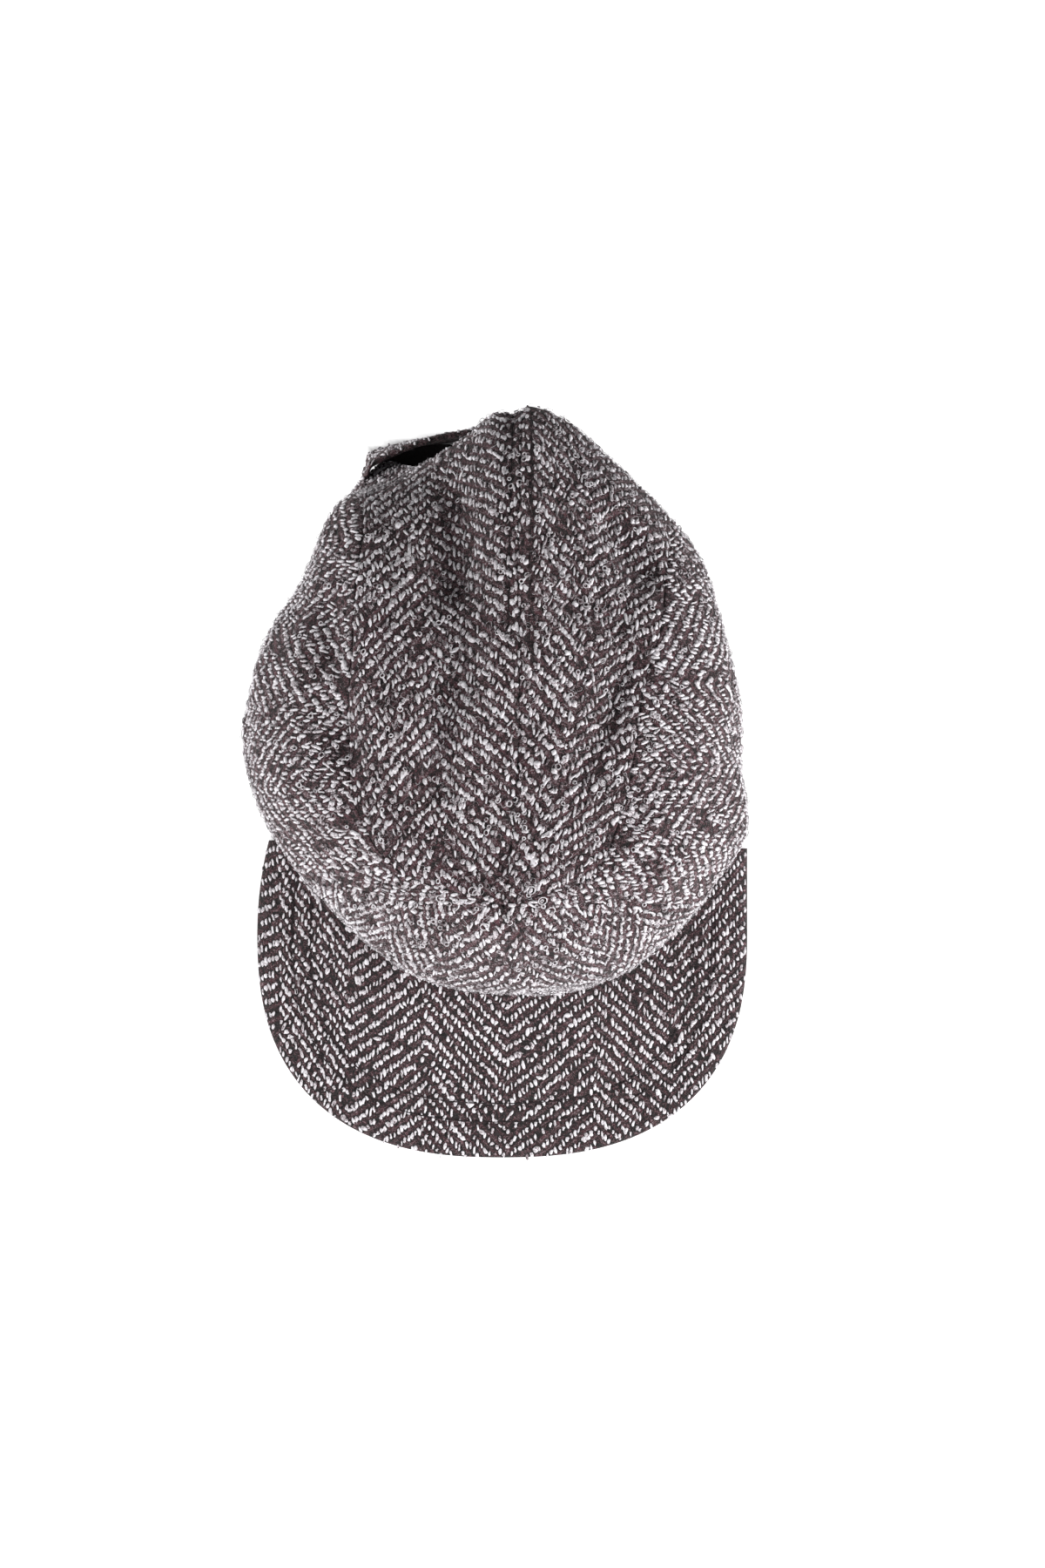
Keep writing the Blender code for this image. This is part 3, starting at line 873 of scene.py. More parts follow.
def slub_places(skin, normals, threads):
    """Where the light floats of the twill fall on a cloth surface, with their directions."""
    corners = triangles_of(threads)
    points = triangles_of(skin)
    ups = triangles_of(normals)
    low = corners.min(1)
    found = []
    first_thread = np.ceil(low[:, 0] / THREAD)
    widest = int(np.ceil((corners[:, :, 0].max(1) - low[:, 0]).max() / THREAD)) + 1
    tallest = int(np.ceil((corners[:, :, 1].max(1) - low[:, 1]).max() / REPEAT)) + 1
    edge_one = corners[:, 1] - corners[:, 0]
    edge_two = corners[:, 2] - corners[:, 0]
    area = edge_one[:, 0] * edge_two[:, 1] - edge_one[:, 1] * edge_two[:, 0]
    for step in range(widest):
        thread = first_thread + step
        phase = twill_phase(thread)
        first_float = np.ceil(low[:, 1] / REPEAT - phase)
        for climb in range(tallest):
            gap = np.stack((thread * THREAD, (first_float + climb + phase) * REPEAT), -1) - corners[:, 0]
            second = (gap[:, 0] * edge_two[:, 1] - gap[:, 1] * edge_two[:, 0]) / area
            third = (edge_one[:, 0] * gap[:, 1] - edge_one[:, 1] * gap[:, 0]) / area
            inside = (second >= 0) & (third >= 0) & (second + third < 1) & (np.abs(area) > 1e-12)
            rows = np.nonzero(inside)[0]
            weights = np.stack((1 - second - third, second, third), -1)[rows, :, None]
            centre = (points[rows] * weights).sum(1)
            found.append((rows, centre, unit((ups[rows] * weights).sum(1))))
    rows, centres, up = (np.concatenate(items) for items in zip(*found))
    # The direction in which the warp runs on each triangle
    one = points[rows, 1] - points[rows, 0]
    two = points[rows, 2] - points[rows, 0]
    along = unit((two * edge_one[rows, :1] - one * edge_two[rows, :1]) / area[rows, None])
    along = unit(along - up * (along * up).sum(-1, keepdims=True))
    return centres, up, along


def add_slubs(name, skin, normals, threads, material, slot, kind_of_cloth, keep=None):
    """Light wool floats over a cloth surface, more or less disordered and large."""
    disorder, scale = kind_of_cloth
    centres, up, along = slub_places(skin, normals, threads)
    dice = np.random.default_rng(SEED + len(centres))
    kept = centres[:, 2] > SLUB_LENGTH
    if keep is not None:
        kept &= keep(centres)
    centres, up, along = centres[kept], up[kept], along[kept]
    patch = patches(centres)
    kept = dice.uniform(size=len(centres)) < SLUBS_KEPT + PATCHINESS * disorder * patch
    centres, up, along, patch = centres[kept], up[kept], along[kept], patch[kept]
    count = len(centres)
    across = np.cross(up, along)
    swing = dice.normal(0, SLUB_SWING * disorder, count)[:, None]
    lie = along * np.cos(swing) + across * np.sin(swing)
    across = np.cross(up, lie)
    astray = dice.normal(0, SLUB_STRAY * disorder, (count, 2))
    centres = centres + along * astray[:, :1] + across * astray[:, 1:] / 2
    shares, lengths, widths, kind_tones = np.array(SLUB_KINDS).T
    chance = (dice.uniform(size=count) - PATCHINESS * patch) * disorder
    kind = np.searchsorted(np.cumsum(shares)[:-1], chance)
    shape = np.stack((lengths, widths, widths), -1)[kind]
    size = np.exp(dice.normal(0, SLUB_SIZE_SPREAD, (count, 3))) * shape * scale
    tones = np.clip(kind_tones[kind] + dice.normal(0, SLUB_TONE_SPREAD, count), *SLUB_TONES)
    points, faces = slub_template()
    swell = 1 + np.random.default_rng(SEED + count).normal(0, SLUB_LUMPS, (count, len(points), 1))
    placed = (
        (centres + up * SLUB_LIFT)[:, None]
        + points[:, 0, None] * (lie * SLUB_LENGTH * size[:, :1])[:, None]
        + points[:, 1, None] * (across * SLUB_WIDTH * size[:, 1:2])[:, None] * swell
        + points[:, 2, None] * (up * SLUB_HEIGHT * size[:, 2:])[:, None] * swell
    )
    add_copies(name, placed, faces, tones, material, slot)


def run_along(points, axis=0):
    """Distance along lines of points, each from its own start."""
    steps = np.linalg.norm(np.diff(points, axis=axis), axis=-1)
    start = np.zeros_like(np.take(steps, [0], axis=axis))
    return np.concatenate((start, np.cumsum(steps, axis=axis)), axis=axis)


PROFILE_STEPS = 200


def profile_reader(station, outward):
    """Distance down from the top as a function of a point, for cloth that hangs that way."""
    way = np.linspace(0, 1, PROFILE_STEPS)
    place = crown_skin(np.full_like(way, station), way)
    lengths = run_along(place)
    # A hair's breadth is added at each step, because interpolation needs places that always rise
    run = outward(place) - place[:, 2] + np.arange(PROFILE_STEPS) * 1e-9
    run = np.maximum.accumulate(run)
    return lambda points: np.interp(outward(points) - points[..., 2], run, lengths)


# The middle that the front panels' threads fan out from, the radius where their stripes have their
# true width, and how far the cloth is stretched down the front
FAN_MIDDLE = (0.0, 0.015)
FAN_RADIUS = 0.090
FRONT_STRETCH = 1.3

# Stripe edges on the front panels and the peak: where they lie on the surface
FRONT_STRIPES = (-0.0920, -0.0720, -0.0560, -0.0405, -0.0218, 0.0065, 0.0320, 0.0488, 0.0707, 0.0920)
FRONT_FIRST = -5
PEAK_STRIPES = (-0.1089, -0.0809, -0.0559, -0.0288, 0.0003, 0.0316, 0.0588, 0.0863, 0.1150)
PEAK_FIRST = -4

# The peak's weft bows towards the back at both sides: how sharply, per metre, and from where
PEAK_BOW = 1.9
PEAK_BOW_MIDDLE = 0.035

# Stripe edges of the other panels: the back left one leans, and the back right one is a curve that
# starts at a place, swings across by so much over a length, and bends by a power
BACK_LEFT_STRIPE = -0.0237
BACK_LEFT_LEAN = 0.043
BACK_RIGHT_STRIPE = 0.0079
BACK_RIGHT_SWING = 0.0210
BACK_RIGHT_START = 0.0691
BACK_RIGHT_LENGTH = 0.1220
BACK_RIGHT_BEND = 1.7
SIDE_LEFT_STRIPE = 0.010
SIDE_RIGHT_STRIPE = -0.010

# Stations where the threads' run down the cloth is measured
BACK_PROFILE = 85.0
LEFT_PROFILE = 180.0
FRONT_PROFILE = 270.0
RIGHT_PROFILE = 0.0


def stripes(values, edges, first):
    """Turn a place on the surface into a place on the cloth, whose stripes are all alike."""
    return np.interp(values, edges, (np.arange(len(edges)) + first) * STRIPE)


def back_distance(points):
    return points[..., 1]


def fan_distance(points):
    return np.hypot(points[..., 0] - FAN_MIDDLE[0], points[..., 1] - FAN_MIDDLE[1])


def left_distance(points):
    return -points[..., 0]


def right_distance(points):
    return points[..., 0]


def back_left_threads(points):
    across = points[..., 0] + BACK_LEFT_LEAN * points[..., 1] - BACK_LEFT_STRIPE
    return np.stack((across, profile_reader(BACK_PROFILE, back_distance)(points)), -1)


def back_right_threads(points):
    share = np.clip((BACK_RIGHT_START - points[..., 1]) / BACK_RIGHT_LENGTH, 0, 1)
    across = points[..., 0] - BACK_RIGHT_STRIPE - BACK_RIGHT_SWING * (1 - share**BACK_RIGHT_BEND)
    return np.stack((across, profile_reader(BACK_PROFILE, back_distance)(points)), -1)


def front_threads(points):
    angle = np.arctan2(points[..., 0] - FAN_MIDDLE[0], FAN_MIDDLE[1] - points[..., 1])
    across = stripes(angle * FAN_RADIUS, FRONT_STRIPES, FRONT_FIRST)
    down = profile_reader(FRONT_PROFILE, fan_distance)(points)
    return np.stack((across, -down / FRONT_STRETCH), -1)


def side_left_threads(points):
    down = profile_reader(LEFT_PROFILE, left_distance)(points)
    return np.stack((points[..., 1] - SIDE_LEFT_STRIPE, down), -1)


def side_right_threads(points):
    down = profile_reader(RIGHT_PROFILE, right_distance)(points)
    return np.stack((points[..., 1] - SIDE_RIGHT_STRIPE, down), -1)


def peak_threads(points):
    across = stripes(points[..., 0], PEAK_STRIPES, PEAK_FIRST)
    return np.stack((across, points[..., 1] - PEAK_BOW * (points[..., 0] - PEAK_BOW_MIDDLE) ** 2), -1)


# The crown's panels: a side panel's first row starts a little down, and skipped stripes change
# which way its twill climbs
PANELS = (
    # name, first seam, second seam, degrees added to the second, first row, threads, stripes skipped
    ("front_left_panel", "front_left", "front", 360, 0, front_threads, 1),
    ("front_right_panel", "front", "front_right", 0, 0, front_threads, 1),
    ("side_left_panel", "back_left", "front_left", 0, 1, side_left_threads, 0),
    ("side_right_panel", "front_right", "back_right", 0, 1, side_right_threads, 1),
    ("back_left_panel", "centre", "back_left", 0, 0, back_left_threads, 1),
    ("back_right_panel", "back_right", "centre", 0, 0, back_right_threads, 0),
)
PANEL_ROWS = 96
PANEL_COLUMNS = 46
SIDE_FIRST_ROW = 0.012
SEAM_CROWDING = 0.10

# How the cloth turns in at a seam and at the rim: how far from it, and how deep
SEAM_TURN = 0.0017
SEAM_SINKS = {
    "centre": 0.0006,
    "back_left": 0.0004,
    "back_right": 0.0005,
    "front_left": 0.0003,
    "front_right": 0.0003,
    "front": 0.0005,
}
RIM_TURN = 0.0024
RIM_SINK = 0.0009

# Over how much cloth, next to the rim, the folds fade away
FOLD_FADE = 0.02


def turn_in(distance, reach, depth):
    """How far the face sinks at a distance from an edge."""
    return depth * np.clip(1 - distance / reach, 0, 1) ** 2


def panel_surface(first_seam, second_seam, turns, first_row, ends):
    """Outer, inner and unfolded grids of one crown panel, in the crown's own frame."""
    share = np.linspace(0, 1, PANEL_COLUMNS + 1)
    share = share - np.sin(2 * math.pi * share) * SEAM_CROWDING
    start_rim = float(seam_at(first_seam, np.array(1.0)))
    end_rim = float(seam_at(second_seam, np.array(1.0))) + turns
    rim_station = start_rim + (end_rim - start_rim) * share
    length = np.linalg.norm(outline(rim_station) - MEETING, axis=-1)
    roundness = sections_at(rim_station)[1]
    first = way_at(np.arcsin((MEETING_HOLE / length) ** (roundness / 2)))
    rows = np.linspace(SIDE_FIRST_ROW * first_row, 1, PANEL_ROWS + 1)[:, None] ** ROW_SPREAD
    way = first + (ends(rim_station) - first) * rows
    start = beside_seam(first_seam, way, 0, SEAM_GAP / 2)
    end = beside_seam(second_seam, way, turns, -SEAM_GAP / 2)
    station = start + (end - start) * share
    skin = crown_skin(station, way)
    down, around = crown_slopes(station, way)
    normals = unit(np.cross(down, around))
    run = run_along(skin, axis=1)
    fall = run_along(skin)
    to_rim = fall[-1] - fall
    sink = turn_in(run, SEAM_TURN, SEAM_SINKS[first_seam])
    sink += turn_in(run[:, -1:] - run, SEAM_TURN, SEAM_SINKS[second_seam])
    sink += turn_in(to_rim, RIM_TURN, RIM_SINK)
    drape = (rumple(skin) + folds(skin)) * np.clip(to_rim / FOLD_FADE, 0, 1)
    outer = skin + normals * (drape - np.minimum(sink, RIM_SINK))[..., None]
    inner = skin + normals * (drape - CLOTH + turn_in(to_rim, RIM_TURN, RIM_SINK))[..., None]
    inner[..., 2] = np.maximum(inner[..., 2], np.where(to_rim == 0, skin[..., 2], inner[..., 2]))
    return outer, inner, crown_skin(station, way, False)


def slide_to_frame(points):
    """From the crown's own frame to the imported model's frame."""
    return points + MIDDLE


def peak_edge(share):
    """Points on the edge of the peak, from its left back corner round to its right one."""
    half_width = PEAK_WIDTH / 2
    turn_start = PEAK_ROOT + PEAK_ROUNDING
    tip = PEAK_ROOT - PEAK_REACH
    ends = crown_skin(np.array(PEAK_ENDS), np.ones(2))[:, 1]
    corner = np.where(share < 0.5, ends[0], ends[1])
    along = np.minimum(share, 1 - share) / PEAK_SIDE_SHARE
    straight = along < 1
    turn = np.clip((share - PEAK_SIDE_SHARE) / (1 - 2 * PEAK_SIDE_SHARE), 0, 1) * math.pi
    side_x = np.where(share > 0.5, half_width, PEAK_WAIST * np.clip(1 - along, 0, 1) ** 2 - half_width)
    round_x = -half_width * signed_power(np.cos(turn), 2 / PEAK_SQUARENESS)
    x = np.where(straight, side_x, round_x)
    side_y = corner + (turn_start - corner) * along
    round_y = turn_start - (turn_start - tip) * np.abs(np.sin(turn)) ** (2 / PEAK_SQUARENESS)
    return np.stack((PEAK_ASIDE + x, np.where(straight, side_y, round_y)), -1)


PEAK_ROWS = 64
PEAK_COLUMNS = 200
PEAK_ROW_SPREAD = 1.15
PEAK_EDGE_POINTS = 600
PEAK_EDGE_TURN = 0.0030
PEAK_RUMPLE = 0.6
PEAK_RUMPLE_FADE = 0.01

# Rows of stitches on the peak: how far they lie inside its edge, and the groove that they draw
STITCH_ROWS = (0.0128, 0.0194)
STITCH_GROOVE = 0.0011
STITCH_DEPTH = 0.0005


def distance_to_edge(points, edge):
    """Distance of each point, seen from above, from a line of points."""
    flat = points.reshape(-1, points.shape[-1])[:, None, :2] - edge[None]
    return np.sqrt((flat**2).sum(-1).min(1)).reshape(points.shape[:-1])


def peak_surface():
    """Upper and lower grids of the peak."""
    share = np.linspace(0, 1, PEAK_COLUMNS + 1)
    station = PEAK_ENDS[0] + (PEAK_ENDS[1] - PEAK_ENDS[0]) * share
    foot = crown_skin(station, whole_way(station))[:, :2]
    root = foot + unit(foot - MEETING) * SEAM_GAP
    edge = peak_edge(share)
    rows = (1 - (1 - np.linspace(0, 1, PEAK_ROWS + 1)) ** PEAK_ROW_SPREAD)[:, None, None]
    place = root + (edge - root) * rows
    low = peak_under(place)
    to_edge = distance_to_edge(place, peak_edge(np.linspace(0, 1, PEAK_EDGE_POINTS)))
    turned = np.clip(1 - to_edge / PEAK_EDGE_TURN, 0, 1)
    round_off = PEAK_THICKNESS / 2 * (1 - np.sqrt(1 - turned**2))
    groove = np.zeros_like(low)
    for row in STITCH_ROWS:
        groove += STITCH_DEPTH * np.exp(-(((to_edge - row) / STITCH_GROOVE) ** 2))
    upper = np.concatenate((place, (low + PEAK_THICKNESS - round_off - groove)[..., None]), -1)
    upper[..., 2] += rumple(upper) * PEAK_RUMPLE * np.clip(to_edge / PEAK_RUMPLE_FADE, 0, 1)
    lower = np.concatenate((place, (low + round_off)[..., None]), -1)
    return upper, lower


STRAP_ROWS = 24
STRAP_COLUMNS = 140
STRAP_END_COLUMNS = 23
STRAP_EDGE_TURN = 0.0016
STRAP_EDGE_SINK = 0.35 * STRAP_THICKNESS


def strap_surface():
    """Outer and inner grids of the back strap, whose left end turns back to the crown."""
    left_end = np.linspace(STRAP_TURN, STRAP_ENDS[1], STRAP_END_COLUMNS + 1)[:-1]
    station = np.concatenate((left_end, np.linspace(STRAP_ENDS[1], STRAP_ENDS[0], STRAP_COLUMNS + 1)))
    height = np.linspace(STRAP_WIDTH, 0, STRAP_ROWS + 1)[:, None]
    stand = ease_through(station, STAND_TABLE)[..., 0] * CROWN_WIDTH
    stand -= np.clip((station - STRAP_ENDS[1]) / (STRAP_TURN - STRAP_ENDS[1]), 0, 1) ** 2 * STRAP_RETURN
    lean = np.where(stand > 0, 1 - STRAP_LEAN * height / STRAP_WIDTH, 1)
    reach = np.linalg.norm(plain_outline(station) - MEETING, axis=-1) + stand * lean
    stations = np.broadcast_to(station, reach.shape)
    way = 1 - (1 - WALL_START) * height / (sections_at(stations)[2] * CROWN_HEIGHT)
    crown = np.linalg.norm(crown_skin(stations, way)[..., :2] - MEETING, axis=-1)
    reach = np.maximum(reach, crown + STRAP_CLEARANCE)
    away = unit(outline(stations) - MEETING)
    level = np.broadcast_to(STRAP_LIFT + height, reach.shape)[..., None]
    rim = np.minimum(height, STRAP_WIDTH - height)
    run = run_along(outline(station))
    to_edge = np.minimum(rim, np.minimum(run, run[-1] - run)[None])
    round_off = turn_in(to_edge, STRAP_EDGE_TURN, STRAP_EDGE_SINK)
    inner_reach = (reach + round_off)[..., None]
    outer_reach = (reach + STRAP_THICKNESS - round_off)[..., None]
    inner = np.concatenate((MEETING + away * inner_reach, level), -1)
    outer = np.concatenate((MEETING + away * outer_reach, level), -1)
    threads = np.stack((np.broadcast_to(run, reach.shape), np.broadcast_to(height, reach.shape)), -1)
    return outer, inner, threads


def tube_faces(steps, sides, closed):
    """Faces of a tube of rings, numbered ring by ring; a closed one joins its last ring to its first."""
    faces = []
    for step in range(steps if closed else steps - 1):
        for side in range(sides):
            after = (side + 1) % sides
            first = step * sides
            second = (step + 1) % steps * sides
            faces.append((first + side, second + side, second + after, first + after))
    if not closed:
        faces.append(tuple(range(sides)))
        faces.append(tuple(range(steps * sides - 1, (steps - 1) * sides - 1, -1)))
    return faces


def tubes(paths, thickness, sides, closed):
    """Points of many round tubes along paths of equally many points."""
    if closed:
        ahead = np.roll(paths, -1, axis=1) - np.roll(paths, 1, axis=1)
    else:
        ahead = np.gradient(paths, axis=1)
    ahead = unit(ahead)
    guide = np.zeros_like(ahead)
    guide[..., 2] = 1.0
    guide[np.abs(ahead[..., 2]) > 0.9] = (1.0, 0.0, 0.0)
    aside = unit(np.cross(ahead, guide))
    over = np.cross(aside, ahead)
    turn = np.arange(sides) / sides * 2 * math.pi
    ring = aside[:, :, None] * np.cos(turn)[:, None] + over[:, :, None] * np.sin(turn)[:, None]
    return paths[:, :, None] + ring * thickness


def add_tubes(name, paths, thickness, sides, closed, tones, material, slot):
    """Many tubes as one piece, each with its own tone."""
    points = tubes(paths, thickness, sides, closed).reshape(len(paths), -1, 3)
    faces = tube_faces(paths.shape[1], sides, closed)
    add_copies(name, points, faces, tones, material, slot)


def spread(skin, normals, count, dice):
    """Random points and normals on a grid, evenly by area, leaving out its lowest cloth."""
    points = triangles_of(skin)
    ups = triangles_of(normals)
    square = np.cross(points[:, 1] - points[:, 0], points[:, 2] - points[:, 0])
    area = np.linalg.norm(square, axis=-1) * (points[:, :, 2].mean(1) > LOW_CLOTH)
    picks = dice.choice(len(points), count, p=area / area.sum())
    weights = dice.dirichlet((1, 1, 1), count)[..., None]
    return (points[picks] * weights).sum(1), unit((ups[picks] * weights).sum(1))


def side_axes(up, dice):
    """Two directions square to each normal, turned at random."""
    first = unit(np.cross(up, unit(dice.normal(size=up.shape))))
    return first, np.cross(up, first)


def add_loops(name, skin, normals, material):
    """Bouclé loops: small rings of light yarn that lie on the cloth."""
    dice = np.random.default_rng(SEED + 2)
    centres, up = spread(skin, normals, LOOPS_PER_PANEL, dice)
    up = unit(up + dice.normal(0, LOOP_TILT, up.shape))
    first, second = side_axes(up, dice)
    turn = (np.arange(LOOP_STEPS) / LOOP_STEPS * 2 * math.pi)[:, None]
    radius = LOOP_RADIUS * np.exp(dice.normal(0, LOOP_SIZE_SPREAD, (len(up), 1, 1)))
    oval = dice.uniform(*LOOP_OVALS, (len(up), 1, 1))
    paths = first[:, None] * np.cos(turn) + second[:, None] * np.sin(turn) * oval
    paths = (centres + up * LOOP_LIFT)[:, None] + paths * radius
    tones = np.clip(dice.normal(LOOP_TONE, LOOP_TONE_SPREAD, len(up)), 0, 1)
    add_tubes(name, paths, LOOP_THICKNESS, LOOP_SIDES, True, tones, material, "crown_tweed")


def add_hairs(name, skin, normals, material, dark):
    """Loose curled hairs of the wool, standing a little off the cloth."""
    dice = np.random.default_rng(SEED + (4 if dark else 3))
    centres, up = spread(skin, normals, HAIRS_PER_PANEL // 2, dice)
    first, second = side_axes(up, dice)
    share = np.linspace(0, 1, HAIR_STEPS)[None, :, None]
    curl = dice.uniform(*HAIR_CURLS, (len(up), 1, 1)) * share
    reach = HAIR_REACH * dice.uniform(*HAIR_REACHES, (len(up), 1, 1))
    lift = 4 * share * (1 - share) * dice.uniform(*HAIR_BOWS, (len(up), 1, 1)) + HAIR_LIFT
    paths = first[:, None] * np.sin(curl) + second[:, None] * (1 - np.cos(curl)) * HAIR_FLATNESS
    paths = centres[:, None] + (paths + up[:, None] * lift) * reach
    tone = DARK_HAIR_TONE if dark else LIGHT_HAIR_TONE
    tones = np.clip(dice.normal(tone, HAIR_TONE_SPREAD, len(up)), 0, 1)
    add_tubes(name, paths, HAIR_THICKNESS, HAIR_SIDES, False, tones, material, "crown_tweed")


def add_stitches(name, line, up, material, slot):
    """A row of sewing stitches along a line of points on the cloth."""
    run = run_along(line)
    starts = np.arange(STITCH_PITCH, run[-1] - STITCH_PITCH, STITCH_PITCH)
    place = starts[:, None] + np.linspace(0, STITCH_LENGTH, STITCH_STEPS)
    paths = np.stack([np.interp(place, run, line[:, axis]) for axis in range(3)], -1)
    lift = np.stack([np.interp(place, run, up[:, axis]) for axis in range(3)], -1)
    arch = np.sin(np.linspace(0, math.pi, STITCH_STEPS))[:, None] * STITCH_ARCH
    paths = paths + lift * (arch - STITCH_SINK)
    tones = np.full(len(paths), STITCH_TONE)
    add_tubes(name, paths, STITCH_THICKNESS, STITCH_SIDES, False, tones, material, slot)


SEAM_LINE_POINTS = 260
PEAK_LINE_POINTS = 400
PEAK_FOOT_POINTS = 200


def seam_line(name, offset, low, high):
    """Points and normals along the crown at a distance beside a seam."""
    way = np.linspace(low, high, SEAM_LINE_POINTS)
    station = beside_seam(name, way, 0, offset)
    line = crown_skin(station, way)
    down, around = crown_slopes(station, way)
    up = unit(np.cross(down, around))
    return slide_to_frame(line + up * (rumple(line) + folds(line))[:, None]), up


def peak_line(inside):
    """Points and normals on the peak at a distance inside its free edge."""
    edge = peak_edge(np.linspace(0, 1, PEAK_LINE_POINTS))
    ahead = unit(np.gradient(edge, axis=0))
    place = edge + np.stack((-ahead[:, 1], ahead[:, 0]), -1) * inside
    station = np.linspace(*PEAK_ENDS, PEAK_FOOT_POINTS)
    foot = crown_skin(station, whole_way(station))[:, :2]
    away = np.sqrt(((place[:, None] - foot[None]) ** 2).sum(-1))
    nearest = away.argmin(1)
    outside = ((place - foot[nearest]) * (foot[nearest] - MEETING)).sum(1) > 0
    place = place[outside & (away.min(1) > STITCH_PITCH)]
    height = peak_under(place) + PEAK_THICKNESS
    line = np.concatenate((place, height[:, None]), -1)
    up = np.zeros_like(line)
    up[:, 2] = 1.0
    return slide_to_frame(line), up


def clear_of(lines, reach):
    """A test of which points lie further than a reach from every line of stitches."""
    marks = np.concatenate(lines)

    def test(points):
        apart = [np.linalg.norm(marks - point, axis=1).min() for point in points]
        return np.array(apart) > reach

    return test


def add_tweed(node, outer, inner, threads, materials, slot, kind_of_cloth, keep=None):
    """Remake a node as a shell of cloth with slubs, and return the cloth's face and normals."""
    ground, light = materials
    face = slide_to_frame(outer)
    normals = grid_normals(outer)
    piece = shell(node + "_cloth", face, slide_to_frame(inner), threads, ground)
    finish_piece(piece, slot, node)
    add_slubs(node + "_slubs", face, normals, threads, light, slot, kind_of_cloth, keep)
    return face, normals


def build_cap():
    """All the cloth pieces of the cap."""
    seam_end = float(arch_way(np.array(SEAMS["centre"][1]))) - ARCH_MARGIN
    offsets = (SEAM_STITCH, -SEAM_STITCH)
    seam_lines = [seam_line("centre", offset, SEAM_STITCH_START, seam_end) for offset in offsets]
    peak_lines = [peak_line(inside) for inside in STITCH_ROWS]
    clear_of_seam = clear_of([line for line, up in seam_lines], STITCH_CLEARANCE)
    clear_of_peak = clear_of([line for line, up in peak_lines], STITCH_CLEARANCE)
    light = slub_material("light_grey_wool_slubs", LIGHT_WOOL, LIGHT_SHEEN)
    dark = slub_material("dark_plum_wool", DARK_WOOL, DARK_SHEEN)
    crown_wool = (ground_material("plum_brown_wool_ground", CROWN_SHADE), light)
    # The peak's ground is a darker copy of the crown's ground: painted shade between its slubs
    peak_wool = (ground_material("peak_wool_ground_with_painted_shade", PEAK_SHADE), light)
    for name, first_seam, second_seam, turns, first_row, threads_of, skipped in PANELS:
        at_back = name.startswith("back")
        ends = arch_way if at_back else whole_way
        outer, inner, unfolded = panel_surface(first_seam, second_seam, turns, first_row, ends)
        threads = threads_of(unfolded) + (skipped * STRIPE, 0)
        keep = clear_of_seam if at_back else None
        cloth = add_tweed(name, outer, inner, threads, crown_wool, "crown_tweed", CROWN_SLUBS, keep)
        add_loops(name + "_loops", *cloth, light)
        add_hairs(name + "_light_hairs", *cloth, light, False)
        add_hairs(name + "_dark_hairs", *cloth, dark, True)
    for side, (line, up) in zip(("left", "right"), seam_lines):
        add_stitches("centre_seam_stitches_" + side, line, up, dark, "crown_tweed")
    for side, (line, up) in zip(("outer", "inner"), peak_lines):
        add_stitches("peak_stitches_" + side, line, up, dark, "peak_tweed")
    upper, lower = peak_surface()
    add_tweed("peak", upper, lower, peak_threads(upper), peak_wool, "peak_tweed", PEAK_SLUBS, clear_of_peak)
    add_tweed("back_strap", *strap_surface(), crown_wool, "crown_tweed", CROWN_SLUBS)


OUTLINE_POINTS = 360
STRAP_LINE_POINTS = 100


def outside_cap(points):
    """How far each point of the surface lies outside the cap's outline, seen from above."""
    strap_station = np.linspace(*STRAP_ENDS, STRAP_LINE_POINTS)
    strap = plain_outline(strap_station)
    strap_reach = ease_through(strap_station, STAND_TABLE) * CROWN_WIDTH + STRAP_THICKNESS + TABLE_CELL
    strap += unit(strap - MEETING) * strap_reach
    back = outline(np.linspace(0, 180, OUTLINE_POINTS))
    front = outline(np.linspace(180, 360, OUTLINE_POINTS))
    peak = peak_edge(np.linspace(0, 1, PEAK_LINE_POINTS))
    place = points - MIDDLE[:2]
    angle = np.arctan2(place[:, 1], place[:, 0])
    reach = np.zeros(len(points))
    for line in (back, front, strap, peak):
        turn = np.arctan2(line[:, 1], line[:, 0])
        order = np.argsort(turn)
        reach = np.maximum(reach, np.interp(angle, turn[order], np.hypot(*line.T)[order], 0, 0))
    return np.hypot(*place.T) - reach


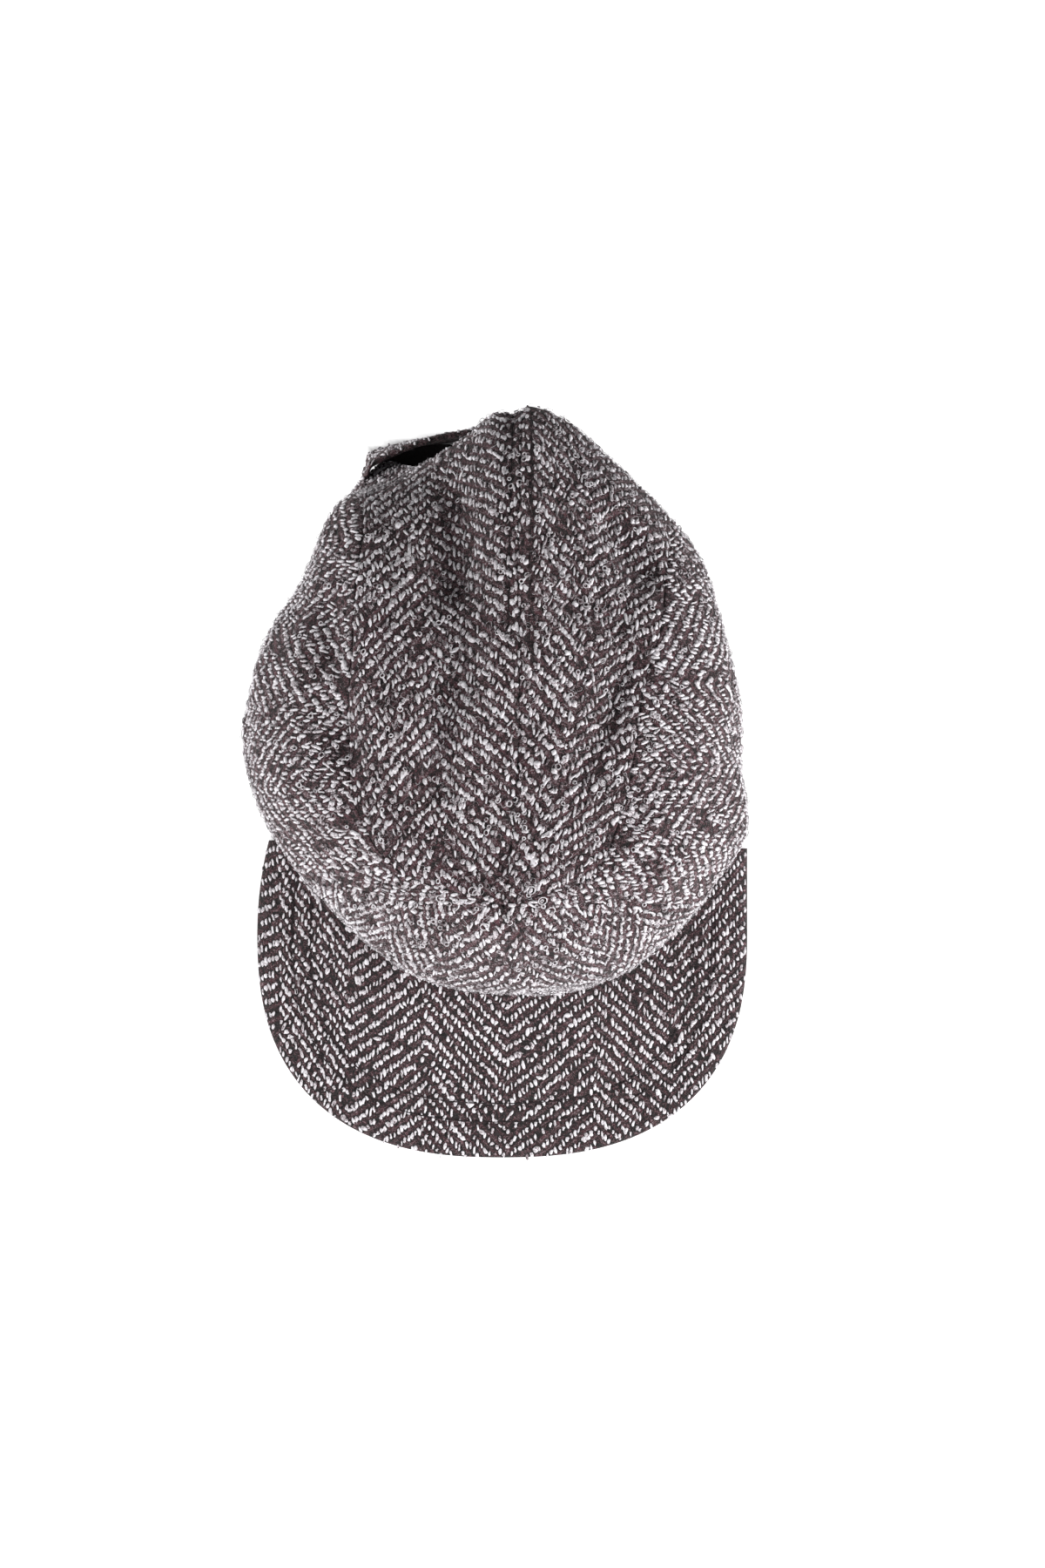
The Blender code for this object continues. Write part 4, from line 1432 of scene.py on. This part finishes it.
def build_table():
    """A white table that glows all over to wash out the cap's cast shadow, and is painted dark as shade
    under the cap, where it does not glow.
    """
    lines = []
    for axis in range(2):
        inner = np.arange(CAD_BOX[0][axis] - TABLE_CELL, CAD_BOX[1][axis] + 2 * TABLE_CELL, TABLE_CELL)
        lines.append(np.concatenate(((-TABLE_SIZE / 2,), inner, (TABLE_SIZE / 2,))))
    down, over = np.meshgrid(lines[1][::-1], lines[0], indexing="ij")
    points = np.stack((over, down, np.zeros_like(over)), -1).reshape(-1, 3)
    material, tree, shader = new_material("glowing_table_with_painted_shade", "#e6e6e6", 0.9)
    glow = add_node(tree, "ShaderNodeAttribute", attribute_name="glow").outputs["Fac"]
    colour = add_node(tree, "ShaderNodeValToRGB", {"Fac": glow})
    set_stops(colour, TABLE_COLOURS_WITH_PAINTED_SHADE)
    set_inputs(tree, shader, {"Base Color": colour, "Emission Strength": glow})
    set_inputs(tree, shader, {"Emission Color": (1, 1, 1, 1)})
    floor = add_mesh("white_surface", points, grid_faces(*down.shape).tolist(), material, False)
    # Under the cap the table neither glows nor stays grey: its colour turns dark there as painted shade
    values = np.clip(outside_cap(points[:, :2]) / TABLE_CELL + GLOW_REACH, 0, 1)
    glow_of_points = floor.data.attributes.new("glow", "FLOAT", "POINT")
    glow_of_points.data.foreach_set("value", values.astype(np.float32))
    return floor


def build_stage():
    """White surface, soft lights and the camera straight above."""
    floor = build_table()
    scene = bpy.context.scene
    world = bpy.data.worlds.new("studio")
    scene.world = world
    world.use_nodes = True
    sky = world.node_tree.nodes["Background"]
    set_inputs(world.node_tree, sky, {"Color": (1, 1, 1, 1), "Strength": SKY_STRENGTH})
    for name, place, size, power in LAMPS:
        light = bpy.data.lights.new(name, "AREA")
        light.shape = "DISK"
        light.size = size
        light.energy = power
        lamp = bpy.data.objects.new(name, light)
        scene.collection.objects.link(lamp)
        lamp.location = place
        aim = np.array(LAMP_AIM) - np.array(place)
        lamp.rotation_euler = (
            math.atan2(math.hypot(aim[0], aim[1]), -aim[2]),
            0,
            math.atan2(aim[1], aim[0]) - math.pi / 2,
        )
    camera = bpy.data.cameras.new("camera")
    camera.sensor_fit = "VERTICAL"
    camera.sensor_height = SENSOR / MM
    camera.lens = CAMERA_HEIGHT * PIXELS_PER_METRE / PICTURE_HEIGHT * SENSOR / MM
    holder = bpy.data.objects.new("camera", camera)
    scene.collection.objects.link(holder)
    holder.location = (*PICTURE_MIDDLE, CAMERA_HEIGHT)
    scene.camera = holder
    scene.view_settings.view_transform = "Standard"
    scene.view_settings.look = "None"


build_cap()
build_stage()
